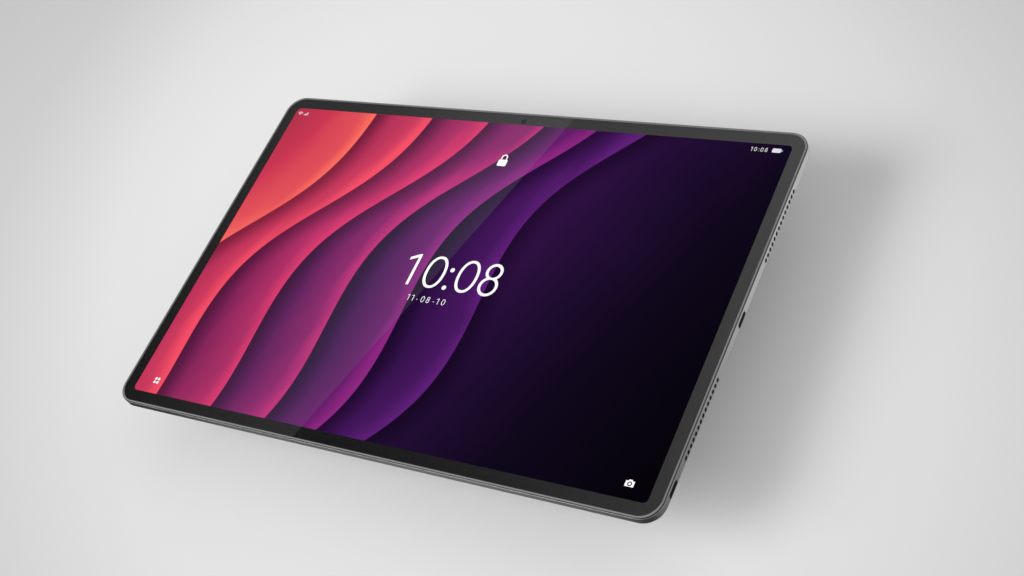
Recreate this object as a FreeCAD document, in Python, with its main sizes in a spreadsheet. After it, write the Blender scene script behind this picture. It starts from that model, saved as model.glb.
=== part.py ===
import FreeCAD, Part
import os
import Sketcher
from FreeCAD import Vector, Placement, Rotation

# Large slim tablet computer, lying on its back.
# Frame: +X along the long side, +Y towards the long edge with the front camera, +Z out of the screen.
# Origin: under the middle of the tablet, on the plane of the raised rear band that it rests on.
# All sizes in millimetres.

os.makedirs("parts", exist_ok=True)
doc = FreeCAD.newDocument("tablet_computer")
sheet = doc.addObject("Spreadsheet::Sheet", "Dims")


class Q:
    """A number together with the sheet expression it comes from."""

    def __init__(self, v, e=None):
        self.v = float(v)
        self.e = e if e is not None else repr(float(v))
        self.bound = e is not None

    def _op(self, o, v, s):
        return Q(v, s) if (self.bound or o.bound) else Q(v)

    def __add__(self, o):
        o = q(o)
        return self._op(o, self.v + o.v, "(%s + %s)" % (self.e, o.e))

    def __radd__(self, o):
        return q(o) + self

    def __sub__(self, o):
        o = q(o)
        return self._op(o, self.v - o.v, "(%s - %s)" % (self.e, o.e))

    def __rsub__(self, o):
        return q(o) - self

    def __mul__(self, o):
        o = q(o)
        return self._op(o, self.v * o.v, "(%s * %s)" % (self.e, o.e))

    def __rmul__(self, o):
        return q(o) * self

    def __truediv__(self, o):
        o = q(o)
        return self._op(o, self.v / o.v, "(%s / %s)" % (self.e, o.e))

    def __neg__(self):
        return self * -1


def q(x):
    return x if isinstance(x, Q) else Q(x)


cells = {}


def cell(name, value, note=""):
    """Puts one number in the sheet under its alias and returns it."""
    if name in cells:
        raise RuntimeError("cell used twice: " + name)
    row = len(cells) + 1
    sheet.set("A%d" % row, note or name.replace("_", " "))
    sheet.set("B%d" % row, str(value))
    sheet.setAlias("B%d" % row, name)
    sheet.recompute()
    sheet.purgeTouched()
    cells[name] = float(value)
    return Q(value, "Dims.%s" % name)


def as_cell(name, value):
    return value if isinstance(value, Q) and value.bound else cell(name, q(value).v)


def bind(obj, prop, value):
    value = q(value)
    if value.bound:
        obj.setExpression(prop, value.e)


# ---------------------------------------------------------------- driving sizes
body_len = cell("body_len", 327.8, "length of the metal housing, X")
body_wid = cell("body_wid", 210.8, "width of the metal housing, Y")
corner_r = cell("corner_r", 10.5, "radius of the outline corners")
band_raise = cell("band_raise", 1.2, "how far the rear band stands proud of the lower back")
wall_t = cell("wall_t", 1.9, "side wall thickness")
floor_t = cell("floor_t", 0.8, "back thickness")
wall_h = cell("wall_h", 4.75, "height of the metal side wall")
back_round = cell("back_round", 1.3, "rounding from the side wall to the back")
rim_round = cell("rim_round", 0.2, "rounding of the metal rim")
ledge_t = cell("ledge_t", 0.25, "polymer ledge under the glass")
lip_h = cell("lip_h", 0.35, "polymer lip beside the glass, above the ledge")
tape_t = cell("tape_t", 0.10, "bonding tape under the glass")
glass_t = cell("glass_t", 0.75, "cover glass thickness")
panel_t = cell("panel_t", 0.70, "display panel thickness")
boss_h = cell("boss_h", 1.0, "height of the board bosses")
board_t = cell("board_t", 0.8, "circuit board thickness")
port_mid = cell("port_mid", 2.3, "centre of ports and grilles above the lower back")

back_z = band_raise
floor_z = back_z + floor_t
rim_z = back_z + wall_h
ledge_z = rim_z + ledge_t
glass_z = ledge_z + tape_t
panel_z = ledge_z - panel_t
board_z = floor_z + boss_h
chip_z = board_z + board_t
port_z = back_z + port_mid
wall_x = body_len / 2
wall_y = body_wid / 2
inner_x = wall_x - wall_t
inner_y = wall_y - wall_t


# ---------------------------------------------------------------- helpers
def origin_plane(body, role):
    for f in body.Origin.OriginFeatures:
        if f.Role == role:
            return f
    raise RuntimeError("no plane " + role)


def pin(sk, geo, pos, x, y):
    """Fixes one point of the sketch by its two distances from the origin."""
    for kind, axis, value in (("DistanceX", -2, q(x)), ("DistanceY", -1, q(y))):
        if abs(value.v) < 1e-9:
            sk.addConstraint(Sketcher.Constraint("PointOnObject", geo, pos, axis))
        else:
            i = sk.addConstraint(Sketcher.Constraint(kind, -1, 1, geo, pos, value.v))
            bind(sk, "Constraints[%d]" % i, value)


def pin_one(sk, kind, geo, pos, value):
    value = q(value)
    i = sk.addConstraint(Sketcher.Constraint(kind, -1, 1, geo, pos, value.v))
    bind(sk, "Constraints[%d]" % i, value)


def loop_poly(sk, pts):
    pts = [(q(a), q(b)) for a, b in pts]
    n = len(pts)
    g = sk.GeometryCount
    for i in range(n):
        a, b = pts[i], pts[(i + 1) % n]
        sk.addGeometry(Part.LineSegment(Vector(a[0].v, a[1].v, 0), Vector(b[0].v, b[1].v, 0)), False)
    for i in range(n):
        sk.addConstraint(Sketcher.Constraint("Coincident", g + i, 2, g + (i + 1) % n, 1))
    for i in range(n):
        pin(sk, g + i, 1, pts[i][0], pts[i][1])


def loop_rect(sk, x0, x1, y0, y1):
    loop_poly(sk, [(x0, y0), (x1, y0), (x1, y1), (x0, y1)])


def loop_round(sk, w, d, r, cx=0, cy=0):
    """Rectangle with round corners, centred on cx, cy."""
    w, d, r, cx, cy = q(w), q(d), q(r), q(cx), q(cy)
    a, b, c = w.v / 2, d.v / 2, r.v
    x, y = cx.v, cy.v
    g = sk.GeometryCount
    up = Vector(0, 0, 1)
    pi = 3.141592653589793

    def line(x0, y0, x1, y1):
        sk.addGeometry(Part.LineSegment(Vector(x + x0, y + y0, 0), Vector(x + x1, y + y1, 0)), False)

    def arc(x0, y0, s):
        sk.addGeometry(Part.ArcOfCircle(Part.Circle(Vector(x + x0, y + y0, 0), up, c), s * pi / 2, (s + 1) * pi / 2), False)

    line(-a + c, -b, a - c, -b)
    arc(a - c, -b + c, -1)
    line(a, -b + c, a, b - c)
    arc(a - c, b - c, 0)
    line(a - c, b, -a + c, b)
    arc(-a + c, b - c, 1)
    line(-a, b - c, -a, -b + c)
    arc(-a + c, -b + c, 2)
    for i in range(8):
        sk.addConstraint(Sketcher.Constraint("Tangent", g + i, 2, g + (i + 1) % 8, 1))
    for i in (0, 4):
        sk.addConstraint(Sketcher.Constraint("Horizontal", g + i))
    for i in (2, 6):
        sk.addConstraint(Sketcher.Constraint("Vertical", g + i))
    for i in (3, 5, 7):
        sk.addConstraint(Sketcher.Constraint("Equal", g + 1, g + i))
    i = sk.addConstraint(Sketcher.Constraint("Radius", g + 1, c))
    bind(sk, "Constraints[%d]" % i, r)
    pin_one(sk, "DistanceX", g + 2, 1, cx + w / 2)
    pin_one(sk, "DistanceX", g + 6, 1, cx - w / 2)
    pin_one(sk, "DistanceY", g + 4, 1, cy + d / 2)
    pin_one(sk, "DistanceY", g, 1, cy - d / 2)


def loop_circle(sk, r, cx=0, cy=0):
    r, cx, cy = q(r), q(cx), q(cy)
    g = sk.addGeometry(Part.Circle(Vector(cx.v, cy.v, 0), Vector(0, 0, 1), r.v), False)
    i = sk.addConstraint(Sketcher.Constraint("Radius", g, r.v))
    bind(sk, "Constraints[%d]" % i, r)
    pin(sk, g, 3, cx, cy)


LOOPS = {"poly": loop_poly, "rect": loop_rect, "round": loop_round, "circle": loop_circle}


def sketch(body, name, role, loops, off=0):
    sk = body.newObject("Sketcher::SketchObject", name)
    sk.AttachmentSupport = (origin_plane(body, role), [""])
    sk.MapMode = "FlatFace"
    off = q(off)
    sk.AttachmentOffset = Placement(Vector(0, 0, off.v), Rotation())
    bind(sk, "AttachmentOffset.Base.z", off)
    for lp in loops:
        LOOPS[lp[0]](sk, *lp[1:])
    return sk


def new_body(label, x=0, y=0, z=0):
    body = doc.addObject("PartDesign::Body", label)
    body.Label = label
    x, y, z = q(x), q(y), q(z)
    body.Placement = Placement(Vector(x.v, y.v, z.v), Rotation())
    bind(body, "Placement.Base.x", x)
    bind(body, "Placement.Base.y", y)
    bind(body, "Placement.Base.z", z)
    return body


def pad(body, sk, length, back=False, both=False):
    f = body.newObject("PartDesign::Pad", "Pad")
    f.Profile = sk
    length = q(length)
    f.Length = length.v
    bind(f, "Length", length)
    f.Reversed = back
    if both:
        f.SideType = "Symmetric"
    doc.recompute()
    return f


def pocket(body, sk, length, back=False, both=False):
    before = body.Tip.Shape.Volume
    f = body.newObject("PartDesign::Pocket", "Pocket")
    f.Profile = sk
    length = q(length)
    f.Length = length.v
    bind(f, "Length", length)
    f.Reversed = back
    if both:
        f.SideType = "Symmetric"
    doc.recompute()
    if not f.Shape.Volume < before - 1e-4:
        raise RuntimeError("pocket cuts nothing in " + body.Label)
    return f


def round_edges(body, pick, r, kind="PartDesign::Fillet"):
    base = body.Tip
    names = ["Edge%d" % (i + 1) for i, e in enumerate(base.Shape.Edges) if pick(e)]
    if not names:
        raise RuntimeError("no edges to round in " + body.Label)
    f = body.newObject(kind, kind.split("::")[1])
    f.Base = (base, names)
    prop = "Radius" if kind.endswith("Fillet") else "Size"
    r = q(r)
    setattr(f, prop, r.v)
    bind(f, prop, r)
    doc.recompute()
    if f.Shape.isNull() or not f.Shape.isValid():
        raise RuntimeError("rounding failed in " + body.Label)
    return f


def at_level(z, outer=None):
    """Edges that lie at one level, optionally only those at the outer outline."""
    z = q(z).v

    def pick(e):
        b = e.BoundBox
        if abs(b.ZMin - z) > 1e-4 or abs(b.ZMax - z) > 1e-4:
            return False
        if outer is None:
            return True
        lx, ly = outer
        return max(abs(b.XMin), abs(b.XMax)) > lx or max(abs(b.YMin), abs(b.YMax)) > ly
    return pick


def plate(label, key, length, width, thick, cx, cy, z, r=0.3, top=None, low=None, holes=(), chamfer=False):
    """Flat piece with round corners, lying in XY, with its middle at cx, cy and its underside at z."""
    length = as_cell(key + "_len", length)
    width = as_cell(key + "_wid", width)
    thick = as_cell(key + "_thk", thick)
    r = as_cell(key + "_rad", r)
    cx = as_cell(key + "_x", cx)
    cy = as_cell(key + "_y", cy)
    body = new_body(label, cx, cy, z)
    loops = [("round", length, width, r)]
    loops += list(holes)
    pad(body, sketch(body, "Outline", "XY_Plane", loops), thick)
    kind = "PartDesign::Chamfer" if chamfer else "PartDesign::Fillet"
    big = (length.v / 2 - r.v - 0.5, width.v / 2 - r.v - 0.5)
    if top is not None:
        round_edges(body, at_level(thick, big if holes else None), as_cell(key + "_top", top), kind)
    if low is not None:
        round_edges(body, at_level(0, big if holes else None), as_cell(key + "_low", low), kind)
    return body


def ring(label, key, outer, inner, thick, z):
    body = new_body(label, 0, 0, z)
    pad(body, sketch(body, "Outline", "XY_Plane", [("round",) + outer, ("round",) + inner]), thick)
    return body


def turned(label, pts, x, y, z):
    """Piece turned about its own vertical axis from a closed profile of (radius, height) points."""
    body = new_body(label, x, y, z)
    sk = sketch(body, "Profile", "XZ_Plane", [("poly", pts)])
    f = body.newObject("PartDesign::Revolution", "Revolution")
    f.Profile = sk
    f.ReferenceAxis = (sk, ["V_Axis"])
    f.Angle = 360
    doc.recompute()
    return body


parts = []


def keep(body):
    parts.append(body)
    return body


# ---------------------------------------------------------------- places shared by several pieces
cam_y = cell("cam_y", 79.9, "height of the camera row")
cam_main_x = cell("cam_main_x", -129.0, "main camera")
cam_wide_x = cell("cam_wide_x", -146.3, "wide camera")
flash_x = cell("flash_x", -111.5, "flash")
ring_r = cell("ring_r", 6.8, "outer radius of the bevel rings")
ring_w = cell("ring_w", 0.65, "width of the bevel rings")
win_r = cell("win_r", 3.1, "radius of the lens windows")
flash_r = cell("flash_r", 2.1, "radius of the flash lens")
hole_r = cell("hole_r", 1.10, "radius of a grille hole")
hole_pitch = cell("hole_pitch", 3.07, "grille hole spacing")
hole_n = cell("hole_n", 14, "holes in a grille row")
grille_hi = cell("grille_hi", 33.1, "lowest hole of the upper grilles")
grille_lo = cell("grille_lo", -72.0, "lowest hole of the lower grilles")
usb_y_mid = cell("usb_y_mid", 0.15, "centre socket")
usb_y_low = cell("usb_y_low", -87.3, "corner socket")
usb_open_w = cell("usb_open_w", 8.7, "socket opening width")
usb_open_t = cell("usb_open_t", 2.9, "socket opening height")
key_y = cell("key_y", 86.55, "middle of the power key")
key_len = cell("key_len", 14.3, "power key length")
key_ht = cell("key_ht", 2.5, "power key height")
key_gap = cell("key_gap", 0.15, "clearance round the keys")
rock_x = cell("rock_x", -134.0, "middle of the volume rocker")
rock_len = cell("rock_len", 22.2, "volume rocker length")
rock_ht = cell("rock_ht", 2.4, "volume rocker height")
tray_x = cell("tray_x", 110.0, "middle of the card tray")
tray_w = cell("tray_w", 13.0, "card tray front width")
tray_ht = cell("tray_ht", 1.3, "card tray front height")
tray_z = chip_z + 0.7
mic_y = cell("mic_y", 3.0, "microphone hole")
mic_r = cell("mic_r", 0.5, "microphone hole radius")
screw_r = cell("screw_r", 0.7, "screw shank radius")
head_r = cell("head_r", 1.35, "screw head radius")
head_t = cell("head_t", 0.5, "screw head height")
front_cam_x = cell("front_cam_x", 0.8, "front camera")
front_cam_y = cell("front_cam_y", 100.1, "front camera")

main_screws = [(-95.0, 57.0), (-95.0, 79.0), (18.0, 56.0), (11.0, 92.5), (98.0, 92.5), (117.0, 55.5)]
small_screws = [(-46.0, 24.7), (46.0, 24.7), (138.0, 13.0), (138.0, -13.0), (139.0, -94.5), (139.0, -80.0)]
strap_screws = [(158.3, 7.35), (158.3, -7.05)]
spots = {}
for n, (sx, sy) in enumerate(main_screws + small_screws + strap_screws):
    tag = "abcdefghijklmnop"[n]
    spots[(sx, sy)] = (cell("screw_%s_x" % tag, sx), cell("screw_%s_y" % tag, sy))


def at(x, y):
    return spots[(x, y)]


# ---------------------------------------------------------------- rear housing
# One aluminium tray: back, four side walls, bosses, and every opening in the walls.
hb = new_body("rear_housing")
pad(hb, sketch(hb, "Outline", "XY_Plane", [("round", body_len, body_wid, corner_r)], back_z), wall_h)
round_edges(hb, at_level(back_z), back_round)
round_edges(hb, at_level(rim_z), rim_round)
pocket(hb, sketch(hb, "Cavity", "XY_Plane",
                  [("round", body_len - 2 * wall_t, body_wid - 2 * wall_t, corner_r - wall_t)], rim_z), wall_h - floor_t)

# bosses under the boards, and the ribs that keep the battery in place
boss_r = cell("boss_r", 1.8, "boss radius")
pad(hb, sketch(hb, "Bosses", "XY_Plane",
               [("circle", boss_r) + at(*p) for p in main_screws + small_screws]
               + [("circle", boss_r - 0.4) + at(*p) for p in strap_screws], floor_z), boss_h)
rib_x = cell("rib_x", 113.3, "inner side of the battery ribs")
rib_t = cell("rib_t", 0.9, "battery rib thickness")
rib_low = cell("rib_low", -93.0, "inner side of the lower battery rib")
rib_top = cell("rib_top", 18.0, "top of the side battery ribs")
rib_ht = cell("rib_ht", 2.2, "battery rib height")
pad(hb, sketch(hb, "Ribs", "XY_Plane",
               [("rect", -rib_x - rib_t, -rib_x, rib_low + 1, rib_top), ("rect", rib_x, rib_x + rib_t, rib_low + 1, rib_top),
                ("rect", -rib_x + 2, rib_x - 2, rib_low - rib_t, rib_low)], floor_z), rib_ht)
pocket(hb, sketch(hb, "ScrewBores", "XY_Plane",
                  [("circle", screw_r + 0.03) + at(*p) for p in main_screws + small_screws + strap_screws], board_z), boss_h + 0.4)

# openings in the back, all covered by the band: cameras, flash and two antenna windows
cam_hole_r = cell("cam_hole_r", 4.4, "camera openings in the back")
ant_l_x = cell("ant_l_x", -125.0, "left antenna window")
ant_l_y = cell("ant_l_y", 63.0, "left antenna window")
ant_r_x = cell("ant_r_x", 136.0, "right antenna window")
ant_r_y = cell("ant_r_y", 88.0, "right antenna window")
ant_len = cell("ant_len", 20.0, "antenna window length")
ant_wid = cell("ant_wid", 8.0, "antenna window width")
ant_rad = cell("ant_rad", 1.5, "antenna window corner radius")
pocket(hb, sketch(hb, "BackOpenings", "XY_Plane",
                  [("circle", cam_hole_r, cam_main_x, cam_y), ("circle", cam_hole_r, cam_wide_x, cam_y),
                   ("circle", flash_r + 0.8, flash_x, cam_y),
                   ("round", ant_len, ant_wid, ant_rad, ant_l_x, ant_l_y),
                   ("round", ant_len, ant_wid, ant_rad, ant_r_x, ant_r_y)], floor_z), floor_t * 2)

# sockets, key, microphone, rocker and tray openings
wall_cut = wall_t + 1.0
mid_x = wall_x - wall_t / 2
mid_y = wall_y - wall_t / 2
pocket(hb, sketch(hb, "Sockets", "YZ_Plane",
                  [("round", usb_open_w, usb_open_t, usb_open_t * 0.49, usb_y_mid, port_z),
                   ("round", usb_open_w, usb_open_t, usb_open_t * 0.49, usb_y_low, port_z)], mid_x), wall_cut, both=True)
pocket(hb, sketch(hb, "KeyAndMic", "YZ_Plane",
                  [("round", key_len + 2 * key_gap, key_ht + 2 * key_gap, (key_ht + 2 * key_gap) * 0.48, key_y, port_z),
                   ("circle", mic_r, mic_y, port_z)], -mid_x), wall_cut, both=True)
pocket(hb, sketch(hb, "RockerSlot", "XZ_Plane",
                  [("round", rock_len + 0.4, rock_ht + 2 * key_gap, (rock_ht + 2 * key_gap) * 0.48, rock_x, port_z)], -mid_y),
       wall_cut, both=True)
pocket(hb, sketch(hb, "TraySlot", "XZ_Plane",
                  [("round", tray_w + 0.2, tray_ht + 0.2, (tray_ht + 0.2) * 0.45, tray_x, tray_z)], -mid_y), wall_cut, both=True)


# four rows of speaker holes
def grille(side_x, first_y):
    before = hb.Tip.Shape.Volume
    sk = sketch(hb, "GrilleHole", "YZ_Plane", [("circle", hole_r, first_y, port_z)], side_x)
    one = pocket(hb, sk, wall_cut, both=True)
    lost = before - one.Shape.Volume
    row = hb.newObject("PartDesign::LinearPattern", "GrilleRow")
    row.Originals = [one]
    row.Direction = (sk, ["H_Axis"])
    row.Length = (hole_pitch * (hole_n - 1)).v
    row.Occurrences = int(hole_n.v)
    bind(row, "Length", hole_pitch * (hole_n - 1))
    bind(row, "Occurrences", hole_n)
    hb.Tip = row
    doc.recompute()
    gone = before - row.Shape.Volume
    if abs(gone - lost * hole_n.v) > 0.02 * gone:
        raise RuntimeError("grille row is not whole: %.3f of %.3f" % (gone, lost * hole_n.v))


grille(mid_x, grille_hi)
grille(mid_x, grille_lo)
grille(-mid_x, grille_hi)
grille(-mid_x, grille_lo)
keep(hb)

# ---------------------------------------------------------------- rear band
band_len = cell("band_len", 323.8, "band length")
band_wid = cell("band_wid", 46.4, "band width")
band_y = cell("band_y", 79.6, "middle of the band")
band_rad = cell("band_rad", 7.5, "band corner radius")
band_thk = cell("band_thk", 1.1, "band cover thickness")
band_edge = cell("band_edge", 0.35, "bevel round the band")
ring_depth = cell("ring_depth", 0.45, "depth of the ring grooves")
plate_len = cell("plate_len", 8.2, "nameplate length, X")
plate_wid = cell("plate_wid", 26.4, "nameplate width, Y")
plate_x = cell("plate_x", 157.0, "middle of the nameplate")
plate_y = cell("plate_y", 80.8, "middle of the nameplate")
plate_thk = cell("plate_thk", 0.2, "nameplate thickness")

bc = new_body("rear_band_cover", 0, band_y, 0)
dy = cam_y - band_y
pad(bc, sketch(bc, "Outline", "XY_Plane",
               [("round", band_len, band_wid, band_rad),
                ("circle", win_r + 0.02, cam_main_x, dy), ("circle", win_r + 0.02, cam_wide_x, dy),
                ("circle", flash_r + 0.02, flash_x, dy)]), band_thk)
round_edges(bc, at_level(0, (150, 20)), band_edge, "PartDesign::Chamfer")
for place in (cam_main_x, cam_wide_x, flash_x):
    pocket(bc, sketch(bc, "RingGroove", "XY_Plane",
                      [("circle", ring_r, place, dy), ("circle", ring_r - ring_w, place, dy)]), ring_depth, back=True)
pocket(bc, sketch(bc, "NameplateSeat", "XY_Plane",
                  [("round", plate_len, plate_wid, 0.8, plate_x, plate_y - band_y)]), plate_thk, back=True)
keep(bc)

keep(plate("band_nameplate", "name", plate_len - 0.04, plate_wid - 0.04, plate_thk, plate_x, plate_y, 0, r=0.78))
glue = new_body("band_adhesive", 0, band_y, band_thk)
pad(glue, sketch(glue, "Outline", "XY_Plane",
                 [("round", band_len - 1.6, band_wid - 1.6, band_rad - 0.8),
                  ("circle", cam_hole_r, cam_main_x, dy), ("circle", cam_hole_r, cam_wide_x, dy),
                  ("circle", flash_r + 0.8, flash_x, dy)]), band_raise - band_thk)
keep(glue)

# bevel rings: a shallow valley between two flush rims
for label, place in (("flash_ring", flash_x), ("camera_ring_main", cam_main_x), ("camera_ring_wide", cam_wide_x)):
    a = ring_r - ring_w
    keep(turned(label, [(a + 0.01, 0.06), (a + 0.12, 0.06), (ring_r - 0.25, 0.30), (ring_r - 0.12, 0.0), (ring_r - 0.01, 0.0),
                        (ring_r - 0.01, ring_depth), (a + 0.01, ring_depth)], place, cam_y, 0))

# lens windows, flash lens
win_t = cell("win_t", 0.6, "lens window thickness")
keep(turned("camera_window_main", [(0, 0.08), (win_r - 0.12, 0.08), (win_r, 0.2), (win_r, win_t + 0.08), (0, win_t + 0.08)], cam_main_x, cam_y, 0))
keep(turned("camera_window_wide", [(0, 0.08), (win_r - 0.12, 0.08), (win_r, 0.2), (win_r, win_t + 0.08), (0, win_t + 0.08)], cam_wide_x, cam_y, 0))
keep(turned("flash_lens", [(0, 0.04), (flash_r - 0.1, 0.04), (flash_r, 0.14), (flash_r, 0.85), (0, 0.85)], flash_x, cam_y, 0))

# flash emitter on its small board
fl = new_body("flash_led", flash_x, cam_y, back_z - 0.25)
pad(fl, sketch(fl, "Package", "XY_Plane", [("round", 2.8, 2.8, 0.3)]), floor_t + 0.25)
pad(fl, sketch(fl, "Board", "XY_Plane", [("round", 8.6, 8.6, 0.8)], floor_t + 0.25), 0.5)
keep(fl)

# rear camera modules: square base on the back, barrel through it, lens in the barrel
mod_base = cell("mod_base", 10.0, "camera module base")
mod_barrel = cell("mod_barrel", 3.9, "camera barrel radius")
for tag, place, lens in (("main", cam_main_x, 2.1), ("wide", cam_wide_x, 1.7)):
    cm = new_body("camera_module_" + tag, place, cam_y, 0)
    pad(cm, sketch(cm, "Base", "XY_Plane", [("round", mod_base, mod_base, 0.9)], floor_z), 3.0)
    pad(cm, sketch(cm, "Barrel", "XY_Plane", [("circle", mod_barrel)], band_thk + 0.02), floor_z - band_thk)
    pad(cm, sketch(cm, "Nose", "XY_Plane", [("circle", win_r - 0.15)], win_t + 0.12), 0.6)
    pocket(cm, sketch(cm, "LensSeat", "XY_Plane", [("circle", lens + 0.02)], win_t + 0.12), 1.2, back=True)
    keep(cm)
    keep(turned("camera_lens_" + tag, [(0, 0.2), (lens * 0.5, 0.26), (lens * 0.8, 0.42), (lens, 0.62), (lens, 1.2), (0, 1.2)],
                place, cam_y, win_t + 0.12))

# ---------------------------------------------------------------- front glass and display
glass_in = cell("glass_in", 0.4, "glass edge inside the metal outline")
glass_round = cell("glass_round", 0.45, "rounding of the glass edge")
keep(plate("cover_glass", "glass", body_len - 2 * glass_in, body_wid - 2 * glass_in, glass_t, 0, 0, glass_z,
           r=corner_r - glass_in, top=glass_round))
tape = ring("glass_bond_tape", "tape", (body_len - 1.4, body_wid - 1.4, corner_r - 0.7),
            (body_len - 6.8, body_wid - 6.8, corner_r - 3.4), tape_t, ledge_z)
keep(tape)

fr = new_body("display_support_frame", 0, 0, 0)
lip_out = (body_len - 0.2, body_wid - 0.2, corner_r - 0.1)
pad(fr, sketch(fr, "Ledge", "XY_Plane", [("round",) + lip_out, ("round", body_len - 7.2, body_wid - 7.2, corner_r - 3.6)], rim_z), ledge_t)
pad(fr, sketch(fr, "Lip", "XY_Plane", [("round",) + lip_out,
                                       ("round", body_len - 2 * glass_in + 0.1, body_wid - 2 * glass_in + 0.1, corner_r - glass_in + 0.05)],
               ledge_z), lip_h)
pad(fr, sketch(fr, "Rib", "XY_Plane", [("round", body_len - 2 * wall_t - 0.1, body_wid - 2 * wall_t - 0.1, corner_r - wall_t - 0.05),
                                       ("round", body_len - 2 * wall_t - 1.5, body_wid - 2 * wall_t - 1.5, corner_r - wall_t - 0.75)],
               rim_z), 0.75, back=True)
keep(fr)

keep(plate("display_panel", "panel", 315.0, 196.4, panel_t, 0, 0, panel_z, r=3.5))
keep(plate("optical_adhesive", "oca", 315.4, 196.8, tape_t, 0, 0, ledge_z, r=3.7))
keep(plate("heat_spreader", "spread", 300.0, 186.0, 0.15, 0, 0, panel_z - 0.15, r=2.0))

fc = new_body("front_camera", front_cam_x, front_cam_y, floor_z)
pad(fc, sketch(fc, "Base", "XY_Plane", [("round", 6.4, 6.2, 0.5)]), 3.1)
pad(fc, sketch(fc, "Barrel", "XY_Plane", [("circle", 1.4)], 3.1), glass_z - floor_z - 3.12)
pocket(fc, sketch(fc, "LensSeat", "XY_Plane", [("circle", 0.85)], glass_z - floor_z), 0.5)
keep(fc)
keep(turned("front_camera_lens", [(0, 0), (0.83, 0), (0.83, 0.3), (0.6, 0.42), (0, 0.46)], front_cam_x, front_cam_y, glass_z - 0.5))

# ---------------------------------------------------------------- battery
cell_len = cell("cell_len", 110.0, "battery cell length")
cell_wid = cell("cell_wid", 108.0, "battery cell width")
cell_thk = cell("cell_thk", 2.9, "battery cell thickness")
cell_y = cell("cell_y", -37.5, "middle of the battery")
cell_x = cell("cell_x", 56.5, "middle of one battery cell")
keep(plate("battery_cell_left", "cella", cell_len, cell_wid, cell_thk, -cell_x, cell_y, floor_z, r=3.0, top=0.8))
keep(plate("battery_cell_right", "cellb", cell_len, cell_wid, cell_thk, cell_x, cell_y, floor_z, r=3.0, top=0.8))
keep(plate("battery_board", "bms", 100.0, 7.6, board_t, 0, 24.7, board_z, r=0.8,
           holes=[("circle", screw_r + 0.1, 46.0, 0), ("circle", screw_r + 0.1, -46.0, 0)]))

# ---------------------------------------------------------------- main board
mb_x = cell("mb_x", 11.0, "middle of the main board")
mb_y = cell("mb_y", 74.0, "middle of the main board")
mb = new_body("mainboard", mb_x, mb_y, board_z)
pad(mb, sketch(mb, "Outline", "XY_Plane",
               [("round", 222.0, 44.0, 1.2)]
               + [("circle", screw_r + 0.1, at(*p)[0] - mb_x, at(*p)[1] - mb_y) for p in main_screws]), board_t)
keep(mb)
keep(plate("soc_chip", "soc", 15.2, 15.2, 1.0, -24.0, 70.0, chip_z, r=0.3, top=0.08))
chips = new_body("board_chips", 0, 0, chip_z)
pad(chips, sketch(chips, "Packages", "XY_Plane",
                  [("round", 12.4, 15.0, 0.3, -4.0, 70.0), ("round", 11.5, 13.0, 0.3, 40.0, 66.0), ("round", 7.0, 7.0, 0.3, -46.0, 64.0),
                   ("round", 9.0, 9.0, 0.3, -76.0, 68.0), ("round", 6.0, 6.0, 0.3, 70.0, 68.0), ("round", 5.0, 5.0, 0.3, 82.0, 62.0),
                   ("round", 4.0, 4.0, 0.3, 60.0, 84.0)]), 0.85)
keep(chips)


def can(label, key, length, width, cx, cy):
    """Thin metal can, open underneath."""
    length, width = cell(key + "_len", length), cell(key + "_wid", width)
    cx, cy = cell(key + "_x", cx), cell(key + "_y", cy)
    b = new_body(label, cx, cy, chip_z)
    pad(b, sketch(b, "Outline", "XY_Plane", [("round", length, width, 1.0)]), 1.25)
    round_edges(b, at_level(1.25), 0.25)
    pocket(b, sketch(b, "Inside", "XY_Plane", [("round", length - 0.4, width - 0.4, 0.8)]), 1.1, back=True)
    return keep(b)


can("shield_can_main", "canmain", 78.0, 26.6, -24.0, 70.5)
can("shield_can_radio", "canradio", 18.0, 22.0, -77.5, 68.0)

# ---------------------------------------------------------------- sockets and their boards
sock_w = cell("sock_w", 8.94, "socket shell width")
sock_t = cell("sock_t", 2.96, "socket shell height")
sock_d = cell("sock_d", 7.4, "socket shell depth")
sock_in_w = cell("sock_in_w", 8.34, "socket inner width")
sock_in_t = cell("sock_in_t", 2.56, "socket inner height")
for tag, place in (("centre", usb_y_mid), ("corner", usb_y_low)):
    s = new_body("usb_port_" + tag, inner_x - sock_d, place, port_z)
    pad(s, sketch(s, "Shell", "YZ_Plane", [("round", sock_w, sock_t, sock_t * 0.48)]), sock_d)
    pocket(s, sketch(s, "Mouth", "YZ_Plane", [("round", sock_in_w, sock_in_t, sock_in_t * 0.48)], sock_d), sock_d - 0.25)
    keep(s)
    tg = new_body("usb_tongue_" + tag, inner_x - sock_d + 0.25, place, port_z)
    pad(tg, sketch(tg, "Base", "YZ_Plane", [("round", sock_in_w - 0.04, sock_in_t - 0.04, 1.2)]), 1.4)
    pad(tg, sketch(tg, "Tongue", "YZ_Plane", [("round", 6.7, 0.7, 0.1)], 1.4), 4.6)
    keep(tg)
keep(plate("usb_board_centre", "ubc", 20.3, 32.0, board_t, 144.35, 0.0, board_z, r=1.0,
           holes=[("circle", screw_r + 0.1, 138.0 - 144.35, 13.0), ("circle", screw_r + 0.1, 138.0 - 144.35, -13.0)]))
keep(plate("usb_board_corner", "ubl", 19.3, 19.0, board_t, 144.85, -87.3, board_z, r=1.0,
           holes=[("circle", screw_r + 0.1, 139.0 - 144.85, -7.2), ("circle", screw_r + 0.1, 139.0 - 144.85, 7.3)]))

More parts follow.
